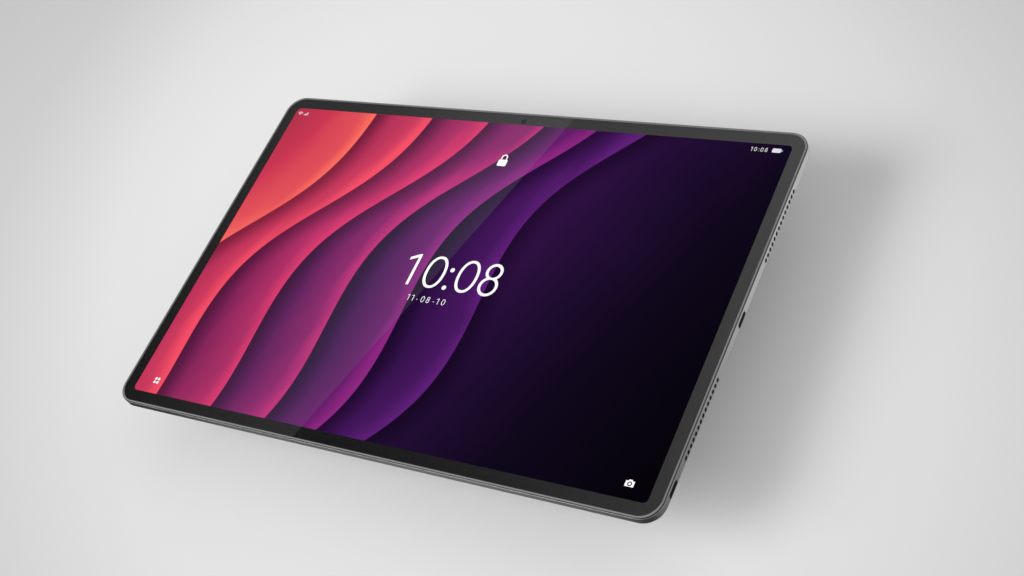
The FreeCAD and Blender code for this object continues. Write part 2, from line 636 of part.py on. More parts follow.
# steel strap over the centre socket
strap_t = cell("strap_t", 0.3, "strap thickness")
st = new_body("usb_bracket", 156.4, usb_y_mid, 0)
half = sock_w / 2 + 0.05
rise = port_z + sock_t / 2 + 0.02
foot = half + 4.4
pad(st, sketch(st, "Hat", "YZ_Plane",
               [("poly", [(-foot, board_z), (-half, board_z), (-half, rise), (half, rise), (half, board_z), (foot, board_z),
                          (foot, board_z + strap_t), (half + strap_t, board_z + strap_t), (half + strap_t, rise + strap_t),
                          (-half - strap_t, rise + strap_t), (-half - strap_t, board_z + strap_t), (-foot, board_z + strap_t)])]), 3.8)
pocket(st, sketch(st, "Holes", "XY_Plane",
                  [("circle", screw_r + 0.1, 158.3 - 156.4, at(*p)[1] - usb_y_mid) for p in strap_screws], board_z - 0.5), 1.0, back=True)
keep(st)

# ---------------------------------------------------------------- connectors and ribbon cables
con_t = cell("con_t", 0.7, "connector height")
cable_t = cell("cable_t", 0.12, "ribbon cable thickness")
cable_z = chip_z + con_t
cn = new_body("board_connectors", 0, 0, chip_z)
pad(cn, sketch(cn, "Blocks", "XY_Plane",
               [("round", 30.0, 4.0, 0.3, 40.0, 86.0), ("round", 8.0, 4.0, 0.3, 0.0, 55.0), ("round", 8.0, 4.0, 0.3, 0.0, 25.0),
                ("round", 6.0, 4.0, 0.3, 108.0, 62.0), ("round", 4.0, 5.0, 0.3, 139.0, -5.0), ("round", 4.0, 5.0, 0.3, 139.0, -87.0),
                ("round", 4.0, 2.6, 0.3, -96.5, 91.5), ("round", 4.0, 2.6, 0.3, -96.5, 87.2), ("round", 4.0, 2.6, 0.3, -96.5, 72.3)]), con_t)
keep(cn)
pf = new_body("port_flex", 0, 0, cable_z)
pad(pf, sketch(pf, "Route", "XY_Plane",
               [("poly", [(105.2, 60.3), (127.0, 60.3), (127.0, -89.3), (140.8, -89.3), (140.8, -84.7), (131.6, -84.7), (131.6, -7.3),
                          (140.8, -7.3), (140.8, -2.7), (131.6, -2.7), (131.6, 63.7), (105.2, 63.7)])]), cable_t)
keep(pf)
keep(plate("battery_flex", "bflex", 7.4, 33.6, cable_t, 0, 40.0, cable_z, r=0.5))
df = new_body("display_flex", 40.0, 0, 0)
pad(df, sketch(df, "Bend", "YZ_Plane",
               [("poly", [(84.2, cable_z), (98.32, cable_z), (98.32, ledge_z - 0.1), (98.2, ledge_z - 0.1), (98.2, cable_z + cable_t),
                          (84.2, cable_z + cable_t)])]), 29.0, both=True)
keep(df)


def low_cable(b, x_start, x_board, x_end, y_mid, width):
    """Ribbon on the floor that steps up beside the main board to a connector."""
    pad(b, sketch(b, "Run", "XZ_Plane",
                  [("poly", [(x_start, floor_z), (x_board, floor_z), (x_board, cable_z), (x_end, cable_z), (x_end, cable_z + cable_t),
                             (x_board - cable_t, cable_z + cable_t), (x_board - cable_t, floor_z + cable_t), (x_start, floor_z + cable_t)])],
                 -q(y_mid)), width, both=True)


kf = new_body("side_key_flex")
low_cable(kf, -159.25, -100.1, -94.6, 91.5, 2.4)
pad(kf, sketch(kf, "Branch", "XY_Plane", [("rect", -125.6, -123.2, 92.0, 100.3)], floor_z), cable_t)
keep(kf)
cf = new_body("camera_flexes")
low_cable(cf, -131.0, -100.1, -94.6, 87.2, 2.4)
pad(cf, sketch(cf, "TabMain", "XY_Plane", [("rect", -131.0, -127.0, 84.95, 87.0)], floor_z), cable_t)
low_cable(cf, -147.2, -100.1, -94.6, 72.3, 2.4)
pad(cf, sketch(cf, "TabWide", "XY_Plane", [("rect", -147.2, -143.2, 72.5, 74.85)], floor_z), cable_t)
keep(cf)

# ---------------------------------------------------------------- speakers, meshes, microphone
spk_w = cell("spk_w", 14.3, "speaker box width")
spk_len = cell("spk_len", 43.0, "speaker box length")
spk_t = cell("spk_t", 2.9, "speaker box height")
mesh_t = cell("mesh_t", 0.2, "mesh thickness")
row_len = hole_pitch * (hole_n - 1)
for tag, side, first in (("upper_left", -1, grille_hi), ("lower_left", -1, grille_lo), ("upper_right", 1, grille_hi), ("lower_right", 1, grille_lo)):
    mid = first + row_len / 2
    sp = new_body("speaker_" + tag, side * (inner_x - mesh_t - spk_w / 2), mid, floor_z + 0.05)
    pad(sp, sketch(sp, "Box", "XY_Plane", [("round", spk_w, spk_len, 1.5)]), spk_t)
    round_edges(sp, at_level(spk_t), 0.3)
    pocket(sp, sketch(sp, "Basin", "XY_Plane", [("round", 9.0, 34.0, 4.0)], spk_t), 0.5)
    pad(sp, sketch(sp, "Cone", "XY_Plane", [("round", 6.6, 31.0, 3.0)], spk_t - 0.5), 0.3)
    pocket(sp, sketch(sp, "Outlet", "YZ_Plane", [("round", 41.5, 1.8, 0.8, 0, port_z - floor_z - 0.05)], side * spk_w / 2), 3.0, both=True)
    keep(sp)
gm = new_body("grille_meshes", 0, 0, port_z)
for side in (-1, 1):
    pad(gm, sketch(gm, "Meshes", "YZ_Plane",
                   [("round", 42.4, 2.6, 0.6, grille_hi + row_len / 2, 0), ("round", 42.4, 2.6, 0.6, grille_lo + row_len / 2, 0)],
                   side * (inner_x - mesh_t / 2)), mesh_t, both=True)
keep(gm)
mc = new_body("microphone", -inner_x, mic_y, port_z)
pad(mc, sketch(mc, "Package", "YZ_Plane", [("round", 3.8, 2.9, 0.3, 0, 0), ("circle", mic_r + 0.1, 0, 0)]), 0.5)
pad(mc, sketch(mc, "Board", "YZ_Plane", [("round", 6.0, 2.9, 0.3, 0, 0)], 0.5), 0.7)
keep(mc)

# ---------------------------------------------------------------- power key (moves)
key_set = cell("key_set", 0.35, "how far the key face sits inside the wall")
flange_t = cell("flange_t", 0.6, "key flange thickness")
key_face = -wall_x + key_set
key_run = wall_t - key_set + 0.05
pk = new_body("power_button", key_face, key_y, port_z)
pad(pk, sketch(pk, "Cap", "YZ_Plane", [("round", key_len, key_ht, key_ht * 0.48)]), key_run)
pad(pk, sketch(pk, "Flange", "YZ_Plane", [("round", key_len + 2.2, key_ht + 0.4, 0.4)], key_run), flange_t)
pocket(pk, sketch(pk, "SensorSeat", "YZ_Plane", [("round", key_len - 1.4, key_ht - 0.6, (key_ht - 0.6) * 0.48)]), 0.3, back=True)
keep(pk)
fs = new_body("fingerprint_sensor", key_face + 0.03, key_y, port_z)
pad(fs, sketch(fs, "Tile", "YZ_Plane", [("round", key_len - 1.5, key_ht - 0.7, (key_ht - 0.7) * 0.48)]), 0.27)
keep(fs)
sw = new_body("power_switch", key_face + key_run + flange_t + 0.27, key_y, port_z)
pad(sw, sketch(sw, "Plunger", "YZ_Plane", [("circle", 0.8)]), 0.5)
pad(sw, sketch(sw, "Case", "YZ_Plane", [("round", 5.2, 2.9, 0.3)], 0.5), 0.8)
pad(sw, sketch(sw, "Plate", "YZ_Plane", [("round", 18.0, 2.96, 0.3)], 1.3), 0.5)
keep(sw)

# ---------------------------------------------------------------- volume rocker (moves)
rock_out = cell("rock_out", 0.3, "how far the rocker stands out of the wall")
rock_in = cell("rock_in", 0.4, "gap between the rocker flange and the wall")
rock_flange = -wall_t - rock_in
vr = new_body("volume_rocker", rock_x, wall_y, port_z)
pad(vr, sketch(vr, "Cap", "XZ_Plane", [("round", rock_len, rock_ht, rock_ht * 0.48)], -rock_out), wall_t + rock_in + rock_out)
pad(vr, sketch(vr, "Flange", "XZ_Plane", [("round", rock_len + 2.4, rock_ht + 0.5, 0.4)], -rock_flange), flange_t)
round_edges(vr, lambda e: abs(e.BoundBox.YMin - rock_out.v) < 1e-4 and abs(e.BoundBox.YMax - rock_out.v) < 1e-4, 0.25)
keep(vr)
vs = new_body("volume_switch_board", rock_x, wall_y - wall_t - rock_in - flange_t - 0.32, port_z)
pad(vs, sketch(vs, "Domes", "XZ_Plane", [("circle", 0.9, -7.0, 0), ("circle", 0.9, 7.0, 0)]), 0.5)
pad(vs, sketch(vs, "Cases", "XZ_Plane", [("round", 4.6, 2.8, 0.3, -7.0, 0), ("round", 4.6, 2.8, 0.3, 7.0, 0)], 0.5), 0.7)
pad(vs, sketch(vs, "Board", "XZ_Plane", [("round", 24.0, 2.96, 0.3)], 1.2), 0.5)
keep(vs)

# ---------------------------------------------------------------- card tray (moves) and reader
tray_d = cell("tray_d", 17.0, "card carrier depth behind the front")
ct = new_body("card_tray", tray_x, wall_y, tray_z)
pad(ct, sketch(ct, "Front", "XZ_Plane", [("round", tray_w, tray_ht, tray_ht * 0.45)]), wall_t)
pad(ct, sketch(ct, "Carrier", "XZ_Plane", [("round", 12.4, 0.7, 0.1)], wall_t), tray_d)
pocket(ct, sketch(ct, "CardSeat", "XY_Plane", [("rect", -5.55, 5.55, -wall_t - 16.0, -wall_t - 0.8)], 0.35), 0.5)
pocket(ct, sketch(ct, "EjectHole", "XZ_Plane", [("circle", 0.42, 4.9, 0)]), wall_t - 0.4, back=True)
keep(ct)
cr = new_body("card_reader", tray_x, 0, chip_z)
pad(cr, sketch(cr, "Cage", "XZ_Plane",
               [("poly", [(-7.5, 0), (-7.3, 0), (-7.3, 1.3), (7.3, 1.3), (7.3, 0), (7.5, 0), (7.5, 1.45), (-7.5, 1.45)])], -102.5), 17.5)
pad(cr, sketch(cr, "Contacts", "XZ_Plane", [("rect", -7.3, 7.3, 0, 1.3)], -86.1), 1.1)
keep(cr)

# ---------------------------------------------------------------- antennas
ac = new_body("antenna_windows", 0, 0, back_z)
pad(ac, sketch(ac, "Blocks", "XY_Plane", [("round", ant_len, ant_wid, ant_rad, ant_l_x, ant_l_y), ("round", ant_len, ant_wid, ant_rad, ant_r_x, ant_r_y)]), floor_t)
keep(ac)
an = new_body("antenna_patches", 0, 0, floor_z)
pad(an, sketch(an, "Sheets", "XY_Plane", [("round", ant_len + 4, ant_wid - 1, 0.5, ant_l_x, ant_l_y), ("round", ant_len + 4, ant_wid + 4, 0.5, ant_r_x, ant_r_y)]), 0.15)
keep(an)

# ---------------------------------------------------------------- screws, one group
ms = new_body("board_screws")
top_spots = [at(*p) for p in main_screws + small_screws]
low_spots = [at(*p) for p in strap_screws]
pad(ms, sketch(ms, "Heads", "XY_Plane", [("circle", head_r) + p for p in top_spots], chip_z), head_t)
pad(ms, sketch(ms, "Shanks", "XY_Plane", [("circle", screw_r) + p for p in top_spots], chip_z), 1.9, back=True)
pad(ms, sketch(ms, "StrapHeads", "XY_Plane", [("circle", head_r - 0.1) + p for p in low_spots], board_z + strap_t), head_t)
pad(ms, sketch(ms, "StrapShanks", "XY_Plane", [("circle", screw_r) + p for p in low_spots], board_z + strap_t), 1.4, back=True)
hexes = []
for p in top_spots:
    hexes.append(("poly", [(p[0] + 0.6, p[1] + 0.0), (p[0] + 0.3, p[1] + 0.52), (p[0] - 0.3, p[1] + 0.52),
                           (p[0] - 0.6, p[1] + 0.0), (p[0] - 0.3, p[1] - 0.52), (p[0] + 0.3, p[1] - 0.52)]))
pocket(ms, sketch(ms, "Sockets", "XY_Plane", hexes, chip_z + head_t), 0.35)
keep(ms)

# ---------------------------------------------------------------- check everything, then write
doc.recompute()
bad = [o.Name for o in doc.Objects if any(w in ("Invalid", "Error") for w in o.State)]
if bad:
    raise RuntimeError("failed objects: " + ", ".join(bad))
names = [b.Label for b in parts]
if len(set(names)) != len(names) or len(names) > 60:
    raise RuntimeError("names clash or too many parts: %d" % len(names))
for b in parts:
    if b.Shape.isNull() or not b.Shape.isValid() or b.Shape.Volume <= 0 or not b.Shape.Solids:
        raise RuntimeError("bad shape: " + b.Label)
for old in os.listdir("parts"):
    if old.endswith(".step"):
        os.remove(os.path.join("parts", old))
for b in parts:
    b.Shape.exportStep("parts/%s.step" % b.Label)
print("parts:", len(parts), "cells:", len(cells))
for b in parts:
    bb = b.Shape.BoundBox
    print("%-24s solids %2d vol %10.2f  x %8.2f %8.2f  y %8.2f %8.2f  z %6.2f %6.2f"
          % (b.Label, len(b.Shape.Solids), b.Shape.Volume, bb.XMin, bb.XMax, bb.YMin, bb.YMax, bb.ZMin, bb.ZMax))
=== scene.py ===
import math

import bmesh
import bpy
from mathutils import Matrix, Vector


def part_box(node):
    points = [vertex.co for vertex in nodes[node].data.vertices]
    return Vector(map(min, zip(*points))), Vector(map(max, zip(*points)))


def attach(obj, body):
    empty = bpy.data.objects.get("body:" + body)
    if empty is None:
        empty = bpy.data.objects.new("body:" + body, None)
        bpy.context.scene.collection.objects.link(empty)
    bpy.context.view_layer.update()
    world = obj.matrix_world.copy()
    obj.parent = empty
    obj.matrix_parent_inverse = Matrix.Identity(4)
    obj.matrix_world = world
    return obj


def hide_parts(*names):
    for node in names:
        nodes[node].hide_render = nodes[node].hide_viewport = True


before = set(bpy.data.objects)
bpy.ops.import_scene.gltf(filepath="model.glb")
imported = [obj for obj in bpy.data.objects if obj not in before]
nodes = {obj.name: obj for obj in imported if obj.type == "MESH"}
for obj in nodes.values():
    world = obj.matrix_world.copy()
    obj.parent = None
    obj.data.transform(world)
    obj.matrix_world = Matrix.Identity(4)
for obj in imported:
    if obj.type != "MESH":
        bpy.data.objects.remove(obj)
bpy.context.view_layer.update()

MM = 0.001
scene = bpy.context.scene
scene.view_settings.view_transform = "Standard"
scene.view_settings.look = "None"
scene.view_settings.exposure = 0.0
scene.view_settings.gamma = 1.0


def lin(r, g, b):
    """0 to 255 display values as linear light."""
    out = []
    for v in (r, g, b):
        v = v / 255.0
        out.append(v / 12.92 if v <= 0.04045 else ((v + 0.055) / 1.055) ** 2.4)
    return (out[0], out[1], out[2], 1.0)


def grey(v):
    return (v, v, v, 1.0)


# ------------------------------------------------------------------ node helpers
class V:
    """One value inside a node tree, so that a pattern can be written as a formula."""

    def __init__(self, nt, out):
        self.nt, self.out = nt, out

    def _m(self, op, *others, clamp=False):
        n = self.nt.nodes.new("ShaderNodeMath")
        n.operation = op
        n.use_clamp = clamp
        for i, o in enumerate((self,) + others):
            if isinstance(o, V):
                self.nt.links.new(o.out, n.inputs[i])
            else:
                n.inputs[i].default_value = float(o)
        return V(self.nt, n.outputs[0])

    def __add__(self, o):
        return self._m("ADD", o)

    __radd__ = __add__

    def __mul__(self, o):
        return self._m("MULTIPLY", o)

    __rmul__ = __mul__

    def __sub__(self, o):
        return self._m("SUBTRACT", o)

    def __rsub__(self, o):
        return self._m("MULTIPLY", -1.0)._m("ADD", o)

    def __truediv__(self, o):
        return self._m("DIVIDE", o)

    def __neg__(self):
        return self._m("MULTIPLY", -1.0)

    def pw(self, p):
        return self._m("POWER", p)

    def sin(self):
        return self._m("SINE")

    def abs(self):
        return self._m("ABSOLUTE")

    def sqrt(self):
        return self._m("SQRT")

    def clamp(self):
        return self._m("ADD", 0.0, clamp=True)

    def fract(self):
        return self._m("FRACT")

    def step(self, lo, hi, a=0.0, b=1.0):
        """Smooth step from a at lo to b at hi."""
        n = self.nt.nodes.new("ShaderNodeMapRange")
        n.interpolation_type = "SMOOTHSTEP"
        self.nt.links.new(self.out, n.inputs["Value"])
        n.inputs["From Min"].default_value = lo
        n.inputs["From Max"].default_value = hi
        n.inputs["To Min"].default_value = a
        n.inputs["To Max"].default_value = b
        return V(self.nt, n.outputs[0])

    def curve(self, pts, lo, hi):
        """A smooth curve through pts, with this value as x from lo to hi."""
        ys = [p[1] for p in pts]
        y0, y1 = min(ys) - 1.0, max(ys) + 1.0
        n = self.nt.nodes.new("ShaderNodeFloatCurve")
        c = n.mapping.curves[0]
        data = sorted(((p[0] - lo) / (hi - lo), (p[1] - y0) / (y1 - y0)) for p in pts)
        while len(c.points) < len(data):
            c.points.new(0.5, 0.5)
        for q, (x, y) in zip(c.points, data):
            q.location = (x, y)
            q.handle_type = "AUTO"
        n.mapping.extend = "HORIZONTAL"
        n.mapping.update()
        s = (self - lo) / (hi - lo)
        self.nt.links.new(s.out, n.inputs["Value"])
        return V(self.nt, n.outputs[0]) * (y1 - y0) + y0


class C:
    """One colour inside a node tree."""

    def __init__(self, nt, out):
        self.nt, self.out = nt, out

    def over(self, other, fac, kind="MIX"):
        """other laid over this colour by fac."""
        n = self.nt.nodes.new("ShaderNodeMix")
        n.data_type = "RGBA"
        n.blend_type = kind
        n.clamp_factor = True
        if isinstance(fac, V):
            self.nt.links.new(fac.out, n.inputs[0])
        else:
            n.inputs[0].default_value = fac
        self.nt.links.new(self.out, n.inputs[6])
        if isinstance(other, C):
            self.nt.links.new(other.out, n.inputs[7])
        else:
            n.inputs[7].default_value = other
        return C(self.nt, n.outputs[2])


class Paint:
    """A material made of one Principled shader and the nodes that feed it."""

    def __init__(self, name, **plain):
        self.mat = bpy.data.materials.new(name)
        self.mat.use_nodes = True
        self.nt = self.mat.node_tree
        self.nt.nodes.clear()
        self.out = self.nt.nodes.new("ShaderNodeOutputMaterial")
        self.bsdf = self.nt.nodes.new("ShaderNodeBsdfPrincipled")
        self.nt.links.new(self.bsdf.outputs[0], self.out.inputs[0])
        for k, v in plain.items():
            self.bsdf.inputs[k.replace("_", " ")].default_value = v
        self._tc = None

    def coords(self, sx=1.0, sy=1.0, sz=1.0, rot=(0.0, 0.0, 0.0)):
        """Object coordinates in millimetres, stretched and turned."""
        if self._tc is None:
            self._tc = self.nt.nodes.new("ShaderNodeTexCoord")
        m = self.nt.nodes.new("ShaderNodeMapping")
        m.vector_type = "POINT"
        m.inputs["Scale"].default_value = (1000.0 * sx, 1000.0 * sy, 1000.0 * sz)
        m.inputs["Rotation"].default_value = rot
        self.nt.links.new(self._tc.outputs["Object"], m.inputs["Vector"])
        return m.outputs[0]

    def xyz(self):
        s = self.nt.nodes.new("ShaderNodeSeparateXYZ")
        self.nt.links.new(self.coords(), s.inputs[0])
        return [V(self.nt, o) for o in s.outputs]

    def vec(self, x, y, z=0.0):
        n = self.nt.nodes.new("ShaderNodeCombineXYZ")
        for i, v in enumerate((x, y, z)):
            if isinstance(v, V):
                self.nt.links.new(v.out, n.inputs[i])
            else:
                n.inputs[i].default_value = v
        return n.outputs[0]

    def noise(self, vector, scale=1.0, detail=3.0, rough=0.55, distort=0.0):
        n = self.nt.nodes.new("ShaderNodeTexNoise")
        self.nt.links.new(vector, n.inputs["Vector"])
        n.inputs["Scale"].default_value = scale
        n.inputs["Detail"].default_value = detail
        n.inputs["Roughness"].default_value = rough
        n.inputs["Distortion"].default_value = distort
        return V(self.nt, n.outputs[0])

    def voronoi(self, vector, scale=1.0, feature="F1", jitter=1.0):
        n = self.nt.nodes.new("ShaderNodeTexVoronoi")
        n.feature = feature
        self.nt.links.new(vector, n.inputs["Vector"])
        n.inputs["Scale"].default_value = scale
        n.inputs["Randomness"].default_value = jitter
        return V(self.nt, n.outputs[0])

    def brick(self, vector, scale, mortar, c1, c2, cm):
        n = self.nt.nodes.new("ShaderNodeTexBrick")
        self.nt.links.new(vector, n.inputs["Vector"])
        n.inputs["Scale"].default_value = scale
        n.inputs["Mortar Size"].default_value = mortar
        n.inputs["Color1"].default_value = c1
        n.inputs["Color2"].default_value = c2
        n.inputs["Mortar"].default_value = cm
        return n

    def ramp(self, value, stops, kind="LINEAR"):
        n = self.nt.nodes.new("ShaderNodeValToRGB")
        r = n.color_ramp
        r.interpolation = kind
        lo, hi = stops[0][0], stops[-1][0]
        while len(r.elements) < len(stops):
            r.elements.new(0.5)
        for e, (p, c) in zip(r.elements, stops):
            e.position = (p - lo) / (hi - lo)
        for e, (p, c) in zip(r.elements, stops):
            e.color = c
        s = ((value - lo) / (hi - lo)).clamp()
        self.nt.links.new(s.out, n.inputs[0])
        return C(self.nt, n.outputs[0])

    def mix(self, a, b, fac):
        n = self.nt.nodes.new("ShaderNodeMix")
        n.data_type = "RGBA"
        self.nt.links.new(fac.out, n.inputs[0])
        for i, c in ((6, a), (7, b)):
            if isinstance(c, C):
                self.nt.links.new(c.out, n.inputs[i])
            else:
                n.inputs[i].default_value = c
        return C(self.nt, n.outputs[2])

    def set(self, socket, value):
        self.nt.links.new(value.out, self.bsdf.inputs[socket])
        return self

    def bump(self, height, strength, distance_mm, normal=None):
        n = self.nt.nodes.new("ShaderNodeBump")
        n.inputs["Strength"].default_value = strength
        n.inputs["Distance"].default_value = distance_mm * MM
        self.nt.links.new(height.out, n.inputs["Height"])
        if normal is not None:
            self.nt.links.new(normal.outputs[0], n.inputs["Normal"])
        self.nt.links.new(n.outputs[0], self.bsdf.inputs["Normal"])
        return n


# ------------------------------------------------------------------ finishes
mats = {}


def finish(slot):
    def wrap(make):
        mats[slot] = make("m_" + slot)
        return make
    return wrap


def blasted(name, base, warm=0.0, rough=0.32, metallic=1.0, grain=3.4, deep=0.006, spread=0.05):
    """Fine blasted, anodised metal: a close grain in bump and gloss, and slow cloudiness in its tone."""
    p = Paint(name, Metallic=metallic)
    close = p.noise(p.coords(), grain, 2.0, 0.6)
    slow = p.noise(p.coords(), 0.045, 3.0, 0.5)
    a = tuple(max(0.0, base * (1 - spread) + warm * k) for k in (0.0, 0.0, 0.004)) + (1.0,)
    b = tuple(base * (1 + spread) + warm * k for k in (0.0, 0.001, 0.008)) + (1.0,)
    tone = (close - 0.5) * 0.7 + (slow - 0.5) * 0.9 + 0.5
    p.set("Base Color", p.mix(a, b, tone.clamp()))
    p.set("Roughness", ((close - 0.5) * 0.10 + (slow - 0.5) * 0.06 + rough).clamp())
    p.bump(close, 0.35, deep)
    return p


@finish("body_aluminium")
def _(n):
    return blasted(n, 0.50, 0.5, rough=0.34)


@finish("key_aluminium")
def _(n):
    p = blasted(n, 0.54, 0.5, rough=0.28)
    return p


@finish("tray_aluminium")
def _(n):
    return blasted(n, 0.51, 0.5, rough=0.33)


@finish("band_gloss")
def _(n):
    p = Paint(n, Metallic=0.92, Coat_Weight=0.55, Coat_Roughness=0.06, Coat_IOR=1.5)
    lines = p.noise(p.coords(0.03, 5.0, 5.0), 1.0, 3.0, 0.6)
    flake = p.noise(p.coords(), 7.0, 1.0, 0.5)
    slow = p.noise(p.coords(0.4, 1, 1), 0.02, 2.0, 0.5)
    tone = (lines - 0.5) * 0.5 + (flake - 0.5) * 0.35 + (slow - 0.5) * 0.8 + 0.5
    p.set("Base Color", p.mix((0.250, 0.252, 0.258, 1), (0.315, 0.317, 0.325, 1), tone.clamp()))
    p.set("Roughness", ((lines - 0.5) * 0.08 + (flake - 0.5) * 0.05 + 0.24).clamp())
    p.bump(lines, 0.12, 0.003)
    return p


@finish("nameplate")
def _(n):
    p = Paint(n, Metallic=1.0)
    lines = p.noise(p.coords(6.0, 0.04, 6.0), 1.0, 3.0, 0.6)
    p.set("Base Color", p.mix((0.47, 0.475, 0.48, 1), (0.60, 0.605, 0.61, 1), lines))
    p.set("Roughness", ((lines - 0.5) * 0.16 + 0.30).clamp())
    p.bump(lines, 0.25, 0.004)
    return p


@finish("ring_metal")
def _(n):
    p = Paint(n, Metallic=1.0)
    turned = p.noise(p.coords(), 5.0, 2.0, 0.6)
    p.set("Base Color", p.mix((0.30, 0.302, 0.31, 1), (0.42, 0.423, 0.43, 1), turned))
    p.set("Roughness", ((turned - 0.5) * 0.12 + 0.20).clamp())
    p.bump(turned, 0.15, 0.004)
    return p


@finish("adhesive")
def _(n):
    p = Paint(n, Specular_IOR_Level=0.3)
    w = p.noise(p.coords(), 1.4, 4.0, 0.6)
    p.set("Base Color", p.mix((0.012, 0.012, 0.012, 1), (0.035, 0.035, 0.036, 1), w))
    p.set("Roughness", (w * 0.3 + 0.6).clamp())
    p.bump(w, 0.3, 0.02)
    return p


@finish("lens_window")
def _(n):
    p = Paint(n, Transmission_Weight=1.0, Roughness=0.0, IOR=1.52, Coat_Weight=0.4, Coat_Roughness=0.02)
    x, y, z = p.xyz()
    w = p.noise(p.coords(), 0.5, 2.0, 0.5)
    p.set("Base Color", p.mix((0.86, 0.90, 0.93, 1), (0.93, 0.96, 0.98, 1), w))
    return p


@finish("lens_glass")
def _(n):
    p = Paint(n, Metallic=0.0, Specular_IOR_Level=0.9, Coat_Weight=1.0, Coat_Roughness=0.02)
    lw = p.nt.nodes.new("ShaderNodeLayerWeight")
    lw.inputs["Blend"].default_value = 0.35
    facing = V(p.nt, lw.outputs["Facing"])
    w = p.noise(p.coords(), 0.8, 2.0, 0.5)
    tint = p.ramp((facing + (w - 0.5) * 0.15).clamp(), [(0, (0.004, 0.006, 0.012, 1)), (0.45, (0.010, 0.022, 0.045, 1)),
                                                        (0.75, (0.05, 0.02, 0.09, 1)), (1, (0.02, 0.05, 0.06, 1))])
    p.set("Base Color", tint)
    p.set("Roughness", ((w - 0.5) * 0.02 + 0.05).clamp())
    return p


@finish("flash_diffuser")
def _(n):
    p = Paint(n, Roughness=0.35, Specular_IOR_Level=0.6, Subsurface_Weight=0.0)
    x, y, z = p.xyz()
    rings = (((x + 111.5) * (x + 111.5) + (y - 79.9) * (y - 79.9)).sqrt() * 9.0).sin()
    p.set("Base Color", p.mix((0.72, 0.71, 0.66, 1), (0.92, 0.915, 0.87, 1), rings * 0.5 + 0.5))
    p.bump(rings * 0.5 + 0.5, 0.5, 0.03)
    return p


@finish("led_emitter")
def _(n):
    p = Paint(n, Roughness=0.5)
    w = p.voronoi(p.coords(), 3.0)
    p.set("Base Color", p.mix((0.75, 0.60, 0.12, 1), (0.95, 0.82, 0.30, 1), w))
    p.bump(w, 0.3, 0.02)
    return p


@finish("module_black")
def _(n):
    p = Paint(n, Specular_IOR_Level=0.4)
    w = p.noise(p.coords(), 6.0, 3.0, 0.6)
    p.set("Base Color", p.mix((0.006, 0.006, 0.007, 1), (0.018, 0.018, 0.020, 1), w))
    p.set("Roughness", (w * 0.25 + 0.40).clamp())
    p.bump(w, 0.35, 0.006)
    return p


@finish("cover_glass")
def _(n):
    # the flat of the glass is optically bonded to what lies under it, which carries its gloss;
    # its rounded rim is drawn as a part-opaque pale grey: a painted highlight along the glass edge
    p = Paint(n, Specular_IOR_Level=0.25, IOR=1.5)
    x, y, z = p.xyz()
    w = p.noise(p.coords(0.2, 1.0, 1.0), 0.05, 3.0, 0.6)
    # painted highlight: the pale grey that the rim of the glass shows
    p.set("Base Color", p.mix((0.26, 0.265, 0.27, 1), (0.34, 0.345, 0.35, 1), w))
    p.set("Roughness", (w * 0.10 + 0.42).clamp())
    ax, ay = (x.abs() - 152.9)._m("MAXIMUM", 0.0), (y.abs() - 94.4)._m("MAXIMUM", 0.0)
    rim_painted_highlight = (ax * ax + ay * ay).sqrt().step(9.86, 10.06)
    p.set("Alpha", rim_painted_highlight * 0.62)
    return p


@finish("seal_polymer")
def _(n):
    p = Paint(n, Specular_IOR_Level=0.35)
    w = p.noise(p.coords(), 5.0, 3.0, 0.6)
    p.set("Base Color", p.mix((0.010, 0.010, 0.011, 1), (0.022, 0.022, 0.024, 1), w))
    p.set("Roughness", (w * 0.2 + 0.42).clamp())
    p.bump(w, 0.3, 0.006)
    return p


@finish("display")
def _(n):
    p = Paint(n, Roughness=0.35)
    x, y, z = p.xyz()
    rows = (y * 24.0).sin() * 0.5 + 0.5
    cols = (x * 24.0).sin() * 0.5 + 0.5
    p.set("Base Color", p.mix((0.006, 0.006, 0.008, 1), (0.020, 0.018, 0.026, 1), rows * cols))
    p.bump(rows * cols, 0.2, 0.01)
    return p


@finish("optical_clear")
def _(n):
    p = Paint(n, Transmission_Weight=1.0, Roughness=0.02, IOR=1.47)
    w = p.noise(p.coords(), 0.05, 2.0, 0.5)
    p.set("Base Color", p.mix((0.98, 0.985, 0.98, 1), (1, 1, 1, 1), w))
    return p


@finish("graphite")
def _(n):
    p = Paint(n, Metallic=0.6)
    w = p.noise(p.coords(0.3, 3.0, 1.0), 0.8, 5.0, 0.65)
    p.set("Base Color", p.mix((0.020, 0.020, 0.022, 1), (0.075, 0.075, 0.080, 1), w))
    p.set("Roughness", (w * 0.3 + 0.35).clamp())
    p.bump(w, 0.25, 0.02)
    return p


@finish("battery_foil")
def _(n):
    p = Paint(n, Metallic=0.35)
    w = p.noise(p.coords(), 0.10, 4.0, 0.6, 0.4)
    f = p.noise(p.coords(), 2.2, 2.0, 0.6)
    p.set("Base Color", p.mix((0.015, 0.015, 0.017, 1), (0.055, 0.055, 0.060, 1), (w * 0.7 + f * 0.3).clamp()))
    p.set("Roughness", (f * 0.2 + 0.34).clamp())
    p.bump((w * 0.8 + f * 0.2), 0.35, 0.25)
    return p


@finish("circuit_board")
def _(n):
    p = Paint(n, Specular_IOR_Level=0.55)
    x, y, z = p.xyz()
    b = p.brick(p.coords(), 0.55, 0.06, (0.004, 0.022, 0.012, 1), (0.006, 0.030, 0.017, 1), (0.012, 0.055, 0.030, 1))
    pads = p.voronoi(p.coords(), 0.42, "F1", 0.6)
    dot = pads.step(0.30, 0.24)
    gold = C(p.nt, b.outputs[0]).over((0.62, 0.42, 0.14, 1), dot)
    p.set("Base Color", gold)
    p.set("Roughness", (dot * -0.1 + 0.38).clamp())
    p.bump(V(p.nt, b.outputs[1]), 0.25, 0.02)
    return p


